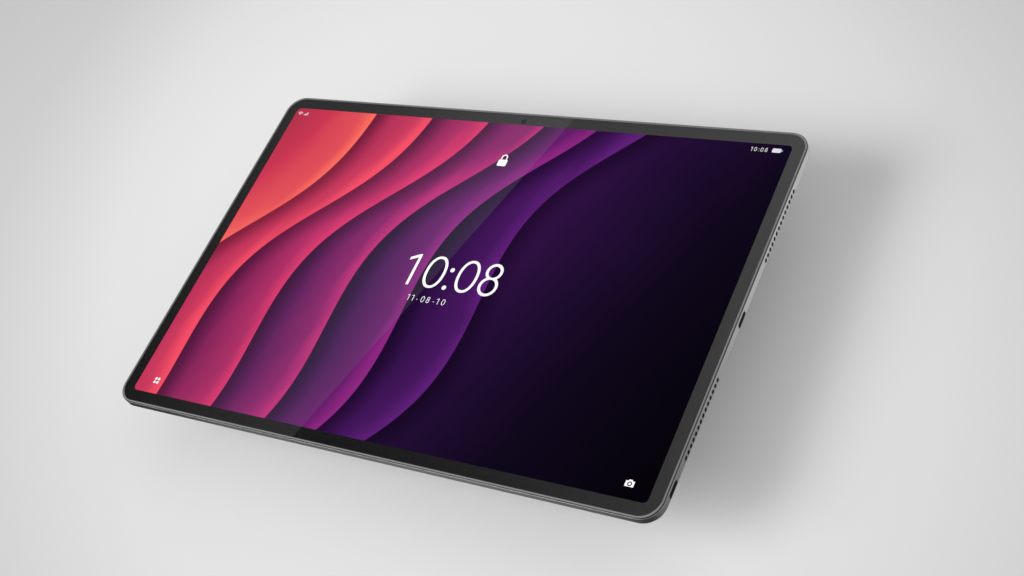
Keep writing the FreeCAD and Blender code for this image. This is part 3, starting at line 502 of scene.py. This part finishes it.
@finish("chip_black")
def _(n):
    p = Paint(n, Specular_IOR_Level=0.45)
    w = p.noise(p.coords(), 8.0, 3.0, 0.6)
    p.set("Base Color", p.mix((0.012, 0.012, 0.013, 1), (0.034, 0.034, 0.036, 1), w))
    p.set("Roughness", (w * 0.25 + 0.42).clamp())
    p.bump(w, 0.3, 0.01)
    return p


@finish("shield_steel")
def _(n):
    p = Paint(n, Metallic=1.0)
    w = p.noise(p.coords(0.15, 5.0, 1.0), 1.0, 3.0, 0.6)
    dots = p.voronoi(p.coords(), 0.33, "F1", 0.0).step(0.40, 0.30)
    p.set("Base Color", p.mix((0.46, 0.45, 0.43, 1), (0.62, 0.61, 0.58, 1), w).over((0.33, 0.32, 0.31, 1), dots * 0.6))
    p.set("Roughness", ((w - 0.5) * 0.2 + 0.30).clamp())
    p.bump((w * 0.3 - dots), 0.3, 0.03)
    return p


@finish("socket_steel")
def _(n):
    p = Paint(n, Metallic=1.0)
    w = p.noise(p.coords(0.3, 3.0, 3.0), 1.6, 3.0, 0.6)
    p.set("Base Color", p.mix((0.10, 0.10, 0.102, 1), (0.17, 0.17, 0.172, 1), w))
    p.set("Roughness", ((w - 0.5) * 0.2 + 0.40).clamp())
    p.bump(w, 0.2, 0.006)
    return p


@finish("socket_tongue")
def _(n):
    p = Paint(n, Specular_IOR_Level=0.5)
    w = p.noise(p.coords(), 5.0, 2.0, 0.6)
    p.set("Base Color", p.mix((0.010, 0.010, 0.011, 1), (0.026, 0.026, 0.028, 1), w))
    p.set("Roughness", (w * 0.2 + 0.36).clamp())
    p.bump(w, 0.3, 0.006)
    return p


@finish("connector_plastic")
def _(n):
    p = Paint(n, Specular_IOR_Level=0.45)
    x, y, z = p.xyz()
    pins = ((x + y) * 9.0).sin().step(0.2, 0.7)
    w = p.noise(p.coords(), 4.0, 2.0, 0.6)
    p.set("Base Color", p.mix((0.030, 0.029, 0.027, 1), (0.075, 0.070, 0.060, 1), w).over((0.58, 0.44, 0.20, 1), pins * 0.65))
    p.set("Roughness", (w * 0.2 + 0.38).clamp())
    p.bump(pins, 0.4, 0.03)
    return p


@finish("flex_cable")
def _(n):
    p = Paint(n, Specular_IOR_Level=0.5)
    x, y, z = p.xyz()
    w = p.noise(p.coords(), 2.0, 2.0, 0.6)
    lines = (y * 10.0).sin().step(-0.2, 0.5)
    p.set("Base Color", p.mix((0.10, 0.045, 0.012, 1), (0.22, 0.105, 0.030, 1), (lines * 0.7 + w * 0.3).clamp()))
    p.set("Roughness", (w * 0.2 + 0.33).clamp())
    p.bump(lines, 0.3, 0.015)
    return p


@finish("speaker_plastic")
def _(n):
    p = Paint(n, Specular_IOR_Level=0.4)
    w = p.voronoi(p.coords(), 2.6, "F1", 1.0)
    f = p.noise(p.coords(), 6.0, 2.0, 0.6)
    p.set("Base Color", p.mix((0.014, 0.014, 0.015, 1), (0.034, 0.034, 0.036, 1), f))
    p.set("Roughness", (f * 0.25 + 0.48).clamp())
    p.bump(w, 0.3, 0.02)
    return p


@finish("mesh_black")
def _(n):
    p = Paint(n, Specular_IOR_Level=0.12)
    x, y, z = p.xyz()
    cloth = ((y * 21.0).sin() * (z * 21.0).sin()) * 0.5 + 0.5
    p.set("Base Color", p.mix((0.0012, 0.0012, 0.0012, 1), (0.010, 0.010, 0.0104, 1), cloth))
    p.set("Roughness", (cloth * -0.2 + 0.80).clamp())
    p.bump(cloth, 0.8, 0.05)
    return p


@finish("sensor_cover")
def _(n):
    p = Paint(n, Specular_IOR_Level=0.6)
    w = p.noise(p.coords(), 4.0, 2.0, 0.6)
    p.set("Base Color", p.mix((0.020, 0.020, 0.022, 1), (0.045, 0.045, 0.048, 1), w))
    p.set("Roughness", (w * 0.12 + 0.22).clamp())
    p.bump(w, 0.15, 0.004)
    return p


@finish("switch_body")
def _(n):
    p = Paint(n, Metallic=0.7)
    w = p.noise(p.coords(), 3.0, 2.0, 0.6)
    p.set("Base Color", p.mix((0.40, 0.39, 0.37, 1), (0.60, 0.59, 0.56, 1), w))
    p.set("Roughness", (w * 0.2 + 0.25).clamp())
    p.bump(w, 0.2, 0.01)
    return p


@finish("antenna_plastic")
def _(n):
    p = Paint(n, Specular_IOR_Level=0.45)
    w = p.noise(p.coords(), 3.0, 3.0, 0.6)
    p.set("Base Color", p.mix((0.030, 0.030, 0.032, 1), (0.055, 0.055, 0.058, 1), w))
    p.set("Roughness", (w * 0.2 + 0.45).clamp())
    p.bump(w, 0.3, 0.01)
    return p


@finish("antenna_copper")
def _(n):
    p = Paint(n, Metallic=1.0)
    w = p.noise(p.coords(0.2, 2.0, 1.0), 1.5, 3.0, 0.6)
    p.set("Base Color", p.mix((0.55, 0.28, 0.12, 1), (0.78, 0.46, 0.24, 1), w))
    p.set("Roughness", (w * 0.2 + 0.25).clamp())
    p.bump(w, 0.2, 0.01)
    return p


@finish("screw_steel")
def _(n):
    p = Paint(n, Metallic=1.0)
    w = p.noise(p.coords(), 5.0, 2.0, 0.6)
    p.set("Base Color", p.mix((0.30, 0.30, 0.31, 1), (0.46, 0.46, 0.47, 1), w))
    p.set("Roughness", (w * 0.2 + 0.24).clamp())
    p.bump(w, 0.2, 0.006)
    return p


for o in nodes.values():
    for s in o.material_slots:
        s.material = mats[s.material.name.split(".")[0]].mat

nodes["cover_glass"].visible_shadow = False
for k in ("camera_window_main", "camera_window_wide"):
    nodes[k].visible_shadow = False


# ------------------------------------------------------------------ shape helpers
def flat(name, loops, z0, z1, mat, body="tablet"):
    """A thin closed plate: loops in mm, the first of each island is its outline and the rest are holes."""
    cu = bpy.data.curves.new(name, "CURVE")
    cu.dimensions = "2D"
    cu.fill_mode = "BOTH"
    cu.extrude = (z1 - z0) / 2 * 10.0
    for pts in loops:
        sp = cu.splines.new("POLY")
        sp.points.add(len(pts) - 1)
        for q, (x, y) in zip(sp.points, pts):
            q.co = (x * 10.0, y * 10.0, 0.0, 1.0)
        sp.use_cyclic_u = True
    tmp = bpy.data.objects.new(name + "_c", cu)
    scene.collection.objects.link(tmp)
    bpy.context.view_layer.update()
    me = bpy.data.meshes.new_from_object(tmp)
    bpy.data.objects.remove(tmp)
    bm = bmesh.new()
    bm.from_mesh(me)
    bmesh.ops.remove_doubles(bm, verts=bm.verts, dist=1e-4)
    bmesh.ops.scale(bm, verts=bm.verts, vec=(MM / 10, MM / 10, MM / 10))
    bmesh.ops.translate(bm, verts=bm.verts, vec=(0, 0, (z0 + z1) / 2 * MM))
    bmesh.ops.recalc_face_normals(bm, faces=bm.faces)
    bm.to_mesh(me)
    bm.free()
    me.name = name
    ob = bpy.data.objects.new(name, me)
    scene.collection.objects.link(ob)
    me.materials.clear()
    me.materials.append(mat)
    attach(ob, body)
    return ob


def arc(cx, cy, r, a0, a1, n=16):
    return [(cx + r * math.cos(math.radians(a0 + (a1 - a0) * i / n)),
             cy + r * math.sin(math.radians(a0 + (a1 - a0) * i / n))) for i in range(n + 1)]


def rrect(x0, x1, y0, y1, r, n=12):
    return (arc(x1 - r, y1 - r, r, 0, 90, n) + arc(x0 + r, y1 - r, r, 90, 180, n)
            + arc(x0 + r, y0 + r, r, 180, 270, n) + arc(x1 - r, y0 + r, r, 270, 360, n))


def circle(cx, cy, r, n=48):
    return [(cx + r * math.cos(2 * math.pi * i / n), cy + r * math.sin(2 * math.pi * i / n)) for i in range(n)]


def oval(cx, cy, rx, ry, p=2.0, n=64):
    """A superellipse: p 2 is an ellipse, more is squarer."""
    out = []
    for i in range(n):
        t = 2 * math.pi * i / n
        c, s = math.cos(t), math.sin(t)
        out.append((cx + rx * math.copysign(abs(c) ** (2 / p), c), cy + ry * math.copysign(abs(s) ** (2 / p), s)))
    return out


def band(pts, w):
    """The outline of a line of width w through pts, with square ends."""
    left, right = [], []
    for i, (x, y) in enumerate(pts):
        x0, y0 = pts[max(i - 1, 0)]
        x1, y1 = pts[min(i + 1, len(pts) - 1)]
        d = math.hypot(x1 - x0, y1 - y0)
        nx, ny = -(y1 - y0) / d * w / 2, (x1 - x0) / d * w / 2
        left.append((x + nx, y + ny))
        right.append((x - nx, y - ny))
    return left + right[::-1]


# ------------------------------------------------------------------ the lit picture
def picture():
    """A plain picture of evenly spaced layered waves, from a dark night side to a warm side."""
    p = Paint("m_screen_picture", Roughness=0.0, IOR=1.5)
    p.bsdf.inputs["Base Color"].default_value = (0.0, 0.0, 0.0, 1.0)
    p.bsdf.inputs["Emission Strength"].default_value = 1.06
    x, y, z = p.xyz()
    # across and along the waves, turned by 24 degrees
    ct, st = math.cos(math.radians(24.0)), math.sin(math.radians(24.0))
    across, along = x * ct - y * st, x * st + y * ct
    haze = p.noise(p.vec(x * 0.010, y * 0.010), 1.0, 2.0, 0.5)
    pic = p.ramp(across + (haze - 0.5) * 30.0, [(-20.0, lin(58, 18, 78)), (50.0, lin(34, 12, 52)), (105.0, lin(14, 6, 26)), (175.0, lin(4, 2, 8))])
    layers = (((92, 30, 116), (44, 14, 66)), ((138, 38, 126), (62, 18, 80)), ((182, 44, 118), (86, 22, 86)),
              ((216, 54, 108), (118, 28, 84)), ((238, 74, 98), (158, 36, 82)), ((246, 104, 92), (196, 52, 80)))
    for i, (lit, deep) in enumerate(layers):
        sheen = p.noise(p.vec(along * 0.012, across * 0.05, 3.0 + i), 1.0, 2.0, 0.5)
        edge = across + (along * 0.030 + 0.9 * i).sin() * 13.0 + (along * 0.013 + 0.4 * i).sin() * 6.0 - (30.0 - 32.0 * i)
        pic = pic.over(lin(6, 2, 12), edge.step(16.0, 0.0) * 0.55)
        body = p.ramp(edge * -1.0 + (sheen - 0.5) * 16.0, [(0.0, lin(*lit)), (9.0, lin(*[(u + v) // 2 for u, v in zip(lit, deep)])), (34.0, lin(*deep)), (80.0, lin(*[v * 3 // 4 for v in deep]))])
        pic = pic.over(body, edge.step(0.3, -0.3))
    p.set("Emission Color", pic)
    return p.mat


A_X, A_Y = 156.15, 97.65
screen = flat("screen_picture", [rrect(-A_X - 0.25, A_X + 0.25, -A_Y - 0.25, A_Y + 0.25, 2.9)], 6.210, 6.240, picture())
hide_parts("optical_adhesive")


def bezel_print_and_painted_sheen():
    p = Paint("m_bezel_print_and_painted_sheen", Specular_IOR_Level=0.5, Coat_Weight=1.0, Coat_Roughness=0.0, Coat_IOR=1.5)
    w = p.noise(p.coords(), 3.0, 3.0, 0.6)
    slow = p.noise(p.coords(), 0.02, 2.0, 0.5)
    x, y, z = p.xyz()
    # painted sheen: the black ink's tone is lifted toward the right and the top, standing in for a soft reflection of
    # the lights
    a, b = ((x + 163.0) / 326.0).clamp(), ((y + 105.0) / 210.0).clamp()
    ink_and_painted_sheen = (a.pw(3.0) * 0.030 + 0.0015) * (1.0 - b) + (a.pw(1.6) * 0.046 + 0.015) * b
    p.set("Base Color", p.mix(grey(0.0), grey(0.10), (ink_and_painted_sheen * 10.0 * (w * 0.10 + slow * 0.10 + 0.90)).clamp()))
    p.set("Roughness", (w * 0.06 + 0.21).clamp())
    p.bump(w, 0.05, 0.002)
    return p.mat


bezel = flat("bezel_print", [rrect(-163.2, 163.2, -104.7, 104.7, 9.8, 24), rrect(-A_X, A_X, -A_Y, A_Y, 2.6)[::-1],
                             circle(0.8, 100.1, 1.5)[::-1]], 6.252, 6.280, bezel_print_and_painted_sheen())
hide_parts("glass_bond_tape")


def light_paint(name, colour, strength):
    p = Paint(name, Roughness=0.0, IOR=1.5)
    p.bsdf.inputs["Base Color"].default_value = (0, 0, 0, 1)
    p.bsdf.inputs["Emission Strength"].default_value = strength
    w = p.noise(p.coords(), 0.4, 1.0, 0.5)
    c = tuple(colour)
    d = tuple(v * 0.96 for v in colour[:3]) + (1.0,)
    p.set("Emission Color", p.mix(d, c, w))
    return p.mat


white = light_paint("m_glyph_white", (1.0, 1.0, 1.0, 1.0), 1.06)
dim = light_paint("m_glyph_soft", (0.80, 0.78, 0.86, 1.0), 0.95)
GZ0, GZ1 = 6.244, 6.250


def numeral(ch, x, y, h, weight=1.0, wide=1.0):
    """The outlines of a thin plain numeral of height h, with its left foot at x, y."""
    s = h / 19.0
    t = 1.62 * s * weight
    if ch == "1":
        return [[(x + 4.9 * s, y), (x + 4.9 * s + t, y), (x + 4.9 * s + t, y + h), (x + 5.3 * s, y + h),
                 (x, y + h - 2.5 * s), (x, y + h - 4.3 * s), (x + 4.9 * s, y + h - 2.1 * s)]]
    if ch == "0":
        rx, ry = 6.2 * s * wide, h / 2 + 0.25 * s
        return [oval(x + rx, y + h / 2, rx, ry, 2.2, 96), oval(x + rx, y + h / 2, rx - t, ry - t * 0.92, 2.15, 96)[::-1]]
    if ch == "8":
        a1, r1, a2, r2 = 4.9 * s * wide, 4.95 * s, 5.65 * s * wide, 5.75 * s
        cx, top, bot = x + a2, y + h + 0.25 * s - 4.95 * s, y - 0.25 * s + 5.75 * s

        def inside(px, py, c, a, r):
            return ((px - cx) / a) ** 2 + ((py - c) / r) ** 2 < 1.0

        up = [q for q in oval(cx, top, a1, r1, 2.0, 160) if not inside(*q, bot, a2, r2)]
        lo = [q for q in oval(cx, bot, a2, r2, 2.0, 160) if not inside(*q, top, a1, r1)]
        up.sort(key=lambda q: math.atan2(-(q[0] - cx), q[1] - top))
        lo.sort(key=lambda q: math.atan2(q[0] - cx, -(q[1] - bot)))
        return [up + lo, oval(cx, top, a1 - t, r1 - t * 0.95, 2.0, 72)[::-1], oval(cx, bot, a2 - t, r2 - t * 0.95, 2.0, 72)[::-1]]
    if ch == ":":
        return [circle(x + 1.7 * s, y + 1.25 * s, 1.3 * s, 32), circle(x + 1.7 * s, y + 12.0 * s, 1.3 * s, 32)]
    if ch == ".":
        return [circle(x + 1.4 * s, y + 6.5 * s, 1.4 * s, 24)]
    raise ValueError(ch)


def numerals(name, text, at, y, h, mat, weight=1.0, wide=1.0):
    loops = []
    for ch, x in zip(text, at):
        loops += numeral(ch, x, y, h, weight, wide)
    return flat(name, loops, GZ0, GZ1, mat)


BIG = (-25.4, -12.4, 1.6, 7.6, 22.3)
numerals("clock_numerals", "10:08", BIG, -9.1, 19.0, white)
numerals("status_numerals", "10:08", (135.1, 137.0, 139.3, 140.4, 142.7), 92.8, 2.4, white, 1.0, 0.85)
numerals("date_numerals", "11.08.10", (-15.4, -12.6, -9.2, -6.6, -3.2, 1.1, 3.0, 6.2), -18.0, 3.5, white, 1.15, 0.92)


def lock_icon():
    cx = 0.3
    body = rrect(cx - 2.75, cx + 2.75, 69.9, 74.1, 0.7, 8)
    hole = []
    legs = ([(cx + 1.9, 74.1), (cx + 1.9, 75.6)] + arc(cx, 75.6, 1.9, 0, 180, 20)[1:] + [(cx - 1.9, 74.1)]
            + [(cx - 1.15, 74.1), (cx - 1.15, 75.6)] + arc(cx, 75.6, 1.15, 180, 0, 16)[1:] + [(cx + 1.15, 74.1)])
    outline = ([(cx + 2.05, 74.1)] + body[13:13] )
    # the shackle is its own island, its feet cut off 0.06 mm above the top of the body
    shackle = [(px, max(py, 74.16)) for px, py in legs]
    return flat("lock_icon", [body, shackle], GZ0, GZ1, white)


lock_icon()


def battery_icon():
    body = rrect(146.4, 151.0, 92.8, 95.3, 0.55, 6)
    tip = rrect(151.25, 151.65, 93.5, 94.6, 0.15, 4)
    return flat("battery_icon", [body, tip], GZ0, GZ1, dim)


battery_icon()


def signal_icons():
    loops = []
    cx, cy = -152.7, 92.6
    for r0, r1 in ((0.0, 0.55), (1.0, 1.5), (1.95, 2.45)):
        outer = arc(cx, cy, r1, 45, 135, 14)
        inner = arc(cx, cy, r0, 135, 45, 14) if r0 else [(cx, cy)]
        loops.append(outer + inner)
    for i in range(4):
        h = 0.7 + 0.5 * i
        loops.append([(-149.6 + i * 0.75, 92.7), (-149.1 + i * 0.75, 92.7), (-149.1 + i * 0.75, 92.7 + h), (-149.6 + i * 0.75, 92.7 + h)])
    return flat("signal_icons", loops, GZ0, GZ1, dim)


signal_icons()


def corner_icons():
    a = []
    # four plain squares, lower left
    for ix in (-1, 1):
        for iy in (-1, 1):
            a.append(rrect(-143.6 + ix * 1.05 - 0.72, -143.6 + ix * 1.05 + 0.72, -90.0 + iy * 1.05 - 0.72, -90.0 + iy * 1.05 + 0.72, 0.3, 5))
    flat("shortcut_icon_left", a, GZ0, GZ1, white)
    # a plain camera, lower right
    cx, cy = 144.7, -90.1
    body = ([(cx - 2.2, cy - 1.6), (cx + 2.2, cy - 1.6), (cx + 2.2, cy + 1.2), (cx + 1.2, cy + 1.2), (cx + 0.75, cy + 1.85),
             (cx - 0.75, cy + 1.85), (cx - 1.2, cy + 1.2), (cx - 2.2, cy + 1.2)])
    flat("shortcut_icon_right", [body, circle(cx, cy - 0.2, 1.15, 32)[::-1], circle(cx, cy - 0.2, 0.62, 24)], GZ0, GZ1, white)


corner_icons()

# ------------------------------------------------------------------ grille screens: black sheets that paint the shade inside the speaker holes
def grille_shade_screens():
    """A small dished black screen in each speaker hole, just under the face of the wall: painted shade that makes the
    holes read black.
    """
    bm = bmesh.new()
    x_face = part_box("rear_housing")[1].x / MM
    for sx in (-1, 1):
        for first in (33.1, -72.0):
            for i in range(14):
                cy = first + 3.07 * i
                rings = []
                for r, dx in ((0.0, 0.15), (0.45, 0.13), (0.80, 0.08), (1.095, 0.025)):
                    x = sx * (x_face - dx)
                    if r == 0.0:
                        rings.append([bm.verts.new((x * MM, cy * MM, 3.5 * MM))])
                    else:
                        rings.append([bm.verts.new((x * MM, (cy + r * math.cos(a)) * MM, (3.5 + r * math.sin(a)) * MM))
                                      for a in [2 * math.pi * k / 24 for k in range(24)]])
                xb = sx * (x_face - 0.60)
                back_ring = [bm.verts.new((xb * MM, (cy + 1.095 * math.cos(a)) * MM, (3.5 + 1.095 * math.sin(a)) * MM))
                             for a in [2 * math.pi * k / 24 for k in range(24)]]
                hub = bm.verts.new((xb * MM, cy * MM, 3.5 * MM))
                for k in range(24):
                    j = (k + 1) % 24
                    bm.faces.new((rings[0][0], rings[1][k], rings[1][j]))
                    bm.faces.new((rings[1][k], rings[2][k], rings[2][j], rings[1][j]))
                    bm.faces.new((rings[2][k], rings[3][k], rings[3][j], rings[2][j]))
                    bm.faces.new((rings[3][k], back_ring[k], back_ring[j], rings[3][j]))
                    bm.faces.new((back_ring[k], hub, back_ring[j]))
    bmesh.ops.recalc_face_normals(bm, faces=bm.faces)
    me = bpy.data.meshes.new("grille_shade_screens")
    bm.to_mesh(me)
    bm.free()
    me.materials.append(mats["mesh_black"].mat)
    o = bpy.data.objects.new("grille_shade_screens", me)
    scene.collection.objects.link(o)
    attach(o, "tablet")
    return o


grille_shade_screens()

# ------------------------------------------------------------------ stage
GAP = 0.040
floor_me = bpy.data.meshes.new("stage_floor")
S = 6.0
floor_me.from_pydata([(-S, -S, -GAP), (S, -S, -GAP), (S, S, -GAP), (-S, S, -GAP)], [], [(0, 1, 2, 3)])
floor = bpy.data.objects.new("stage_floor", floor_me)
scene.collection.objects.link(floor)
fp = Paint("m_stage_floor", Specular_IOR_Level=0.1, Roughness=0.9)
fx, fy, fz = fp.xyz()
# painted shade: the floor is lightest at a spot near the object and darkens outward, its falloff stretched along the
# main camera's right and up axes
fa = (fx * 0.830 + fy * 0.395 + 8.0) / 270.0
fb = (fx * -0.121 + fy * 0.816 - 46.0) / 152.0
painted_falloff = (fa * fa + fb * fb * 0.30).sqrt()
fn = fp.noise(fp.coords(), 0.9, 2.0, 0.5)
fp.set("Base Color", fp.ramp(painted_falloff + (fn - 0.5) * 0.01, [(0.0, grey(0.88)), (0.55, grey(0.87)), (0.85, grey(0.78)), (1.0, grey(0.71)), (1.2, grey(0.62)), (1.7, grey(0.56)), (5.0, grey(0.52))], "B_SPLINE"))
# seen from below, the floor is left out, so that the back of the object can be looked at
geo = fp.nt.nodes.new("ShaderNodeNewGeometry")
clear = fp.nt.nodes.new("ShaderNodeBsdfTransparent")
pick = fp.nt.nodes.new("ShaderNodeMixShader")
fp.nt.links.new(geo.outputs["Backfacing"], pick.inputs[0])
fp.nt.links.new(fp.bsdf.outputs[0], pick.inputs[1])
fp.nt.links.new(clear.outputs[0], pick.inputs[2])
fp.nt.links.new(pick.outputs[0], fp.out.inputs[0])
floor_me.materials.append(fp.mat)

# ------------------------------------------------------------------ light
world = bpy.data.worlds.new("studio")
scene.world = world
world.use_nodes = True
wn = world.node_tree
wn.nodes.clear()
w_out = wn.nodes.new("ShaderNodeOutputWorld")
w_bg = wn.nodes.new("ShaderNodeBackground")
wn.links.new(w_bg.outputs[0], w_out.inputs[0])
w_tc = wn.nodes.new("ShaderNodeTexCoord")


def wdot(v):
    n = wn.nodes.new("ShaderNodeVectorMath")
    n.operation = "DOT_PRODUCT"
    wn.links.new(w_tc.outputs["Generated"], n.inputs[0])
    n.inputs[1].default_value = v
    return V(wn, n.outputs["Value"])


CAM = Vector((0.4562, -0.3232, 0.5589))
right, up, back = Vector((0.830, 0.395, -0.393)), Vector((-0.121, 0.816, 0.565)), Vector((0.544, -0.421, 0.726))
w_sep = wn.nodes.new("ShaderNodeSeparateXYZ")
wn.links.new(w_tc.outputs["Generated"], w_sep.inputs[0])
dx, dy, dz = [V(wn, o) for o in w_sep.outputs]
up_z = dz._m("MAXIMUM", 0.02)
# the ceiling as a map: u and v are how far over and along for one up
u, v = dx / up_z, dy / up_z
panel = u.step(-2.6, -1.6) * u.step(-0.36, -0.50) * v.step(-0.9, -0.1) * v.step(1.02, 0.83) * dz.step(0.10, 0.25)
# the edge of a soft box that the glass mirrors as one slanting line
A, B = Vector((0.0319, 0.1044, 0.00705)) - CAM, Vector((-0.0383, -0.1048, 0.00705)) - CAM
nrm = A.cross(B).normalized()
if nrm.dot(Vector((-0.10, 0.0, 0.00705)) - CAM) < 0:
    nrm = -nrm
mirrored = (nrm.x, nrm.y, -nrm.z)
side = wdot(mirrored)
veil = side.step(0.0000, 0.0010) * side.step(0.115, 0.0, 0.10, 1.0) * v.step(0.40, 0.77, 0.78, 1.0)
base = 0.60
level = (1.0 - panel) * base + panel * (veil * 0.39 + 0.012)
lum = wn.nodes.new("ShaderNodeCombineColor")
for i in range(3):
    wn.links.new(level.out, lum.inputs[i])
wn.links.new(lum.outputs[0], w_bg.inputs["Color"])
w_bg.inputs["Strength"].default_value = 1.0


def area(name, loc, aim, size, power, colour=(1, 1, 1)):
    d = bpy.data.lights.new(name, "AREA")
    d.shape = "RECTANGLE"
    d.size, d.size_y = size
    d.energy = power
    d.color = colour
    o = bpy.data.objects.new(name, d)
    scene.collection.objects.link(o)
    o.location = loc
    o.rotation_mode = "QUATERNION"
    o.rotation_quaternion = (Vector(aim) - Vector(loc)).to_track_quat("-Z", "Y")
    return o


area("key_front_left", (-1.35, -1.35, 1.9), (0, 0, 0), (1.5, 1.5), 44.0)
area("fill_right", (1.7, 0.6, 1.5), (0.05, 0, 0), (1.6, 1.6), 4.0)


def card(name, x0, x1, y0, y1, along, stops):
    """A studio card just under the edge of the object, that only its gloss sees."""
    z = -0.0015
    me = bpy.data.meshes.new(name)
    me.from_pydata([(x0, y0, z), (x1, y0, z), (x1, y1, z), (x0, y1, z)], [], [(0, 1, 2, 3)])
    o = bpy.data.objects.new(name, me)
    scene.collection.objects.link(o)
    p = Paint("m_" + name, Roughness=1.0, Specular_IOR_Level=0.0)
    p.bsdf.inputs["Base Color"].default_value = (0.0, 0.0, 0.0, 1.0)
    p.bsdf.inputs["Emission Strength"].default_value = 1.0
    xyz = p.xyz()
    p.set("Emission Color", p.ramp(xyz[along], [(at, grey(v)) for at, v in stops]))
    me.materials.append(p.mat)
    o.visible_camera = o.visible_diffuse = o.visible_shadow = o.visible_transmission = False
    return o


card("stage_card_front", -0.45, 0.1643, -0.45, -0.098, 0, [(-160.0, 0.03), (-130.0, 0.06), (-90.0, 0.18), (-40.0, 0.20), (60.0, 0.24), (110.0, 0.20), (140.0, 0.17), (158.0, 0.05)])
card("stage_card_right", 0.1643, 0.45, -0.45, 0.45, 1, [(-104.0, 0.18), (-95.0, 0.25), (-60.0, 0.33), (-40.0, 0.45), (-20.0, 0.55), (15.0, 0.74), (80.0, 0.84)])
card("stage_card_left", -0.45, -0.157, -0.098, 0.45, 1, [(-105.0, 0.10), (0.0, 0.16), (90.0, 0.30)])

# ------------------------------------------------------------------ camera
cam_data = bpy.data.cameras.new("camera")
cam_data.sensor_width = 36.0
cam_data.sensor_fit = "HORIZONTAL"
cam_data.lens = 1553.9 / 1024 * 36.0
cam = bpy.data.objects.new("camera", cam_data)
scene.collection.objects.link(cam)
m = Matrix((right, up, back)).transposed().to_4x4()
m.translation = CAM
cam.matrix_world = m
cam_data.clip_start, cam_data.clip_end = 0.01, 100.0
scene.camera = cam

bpy.context.view_layer.update()
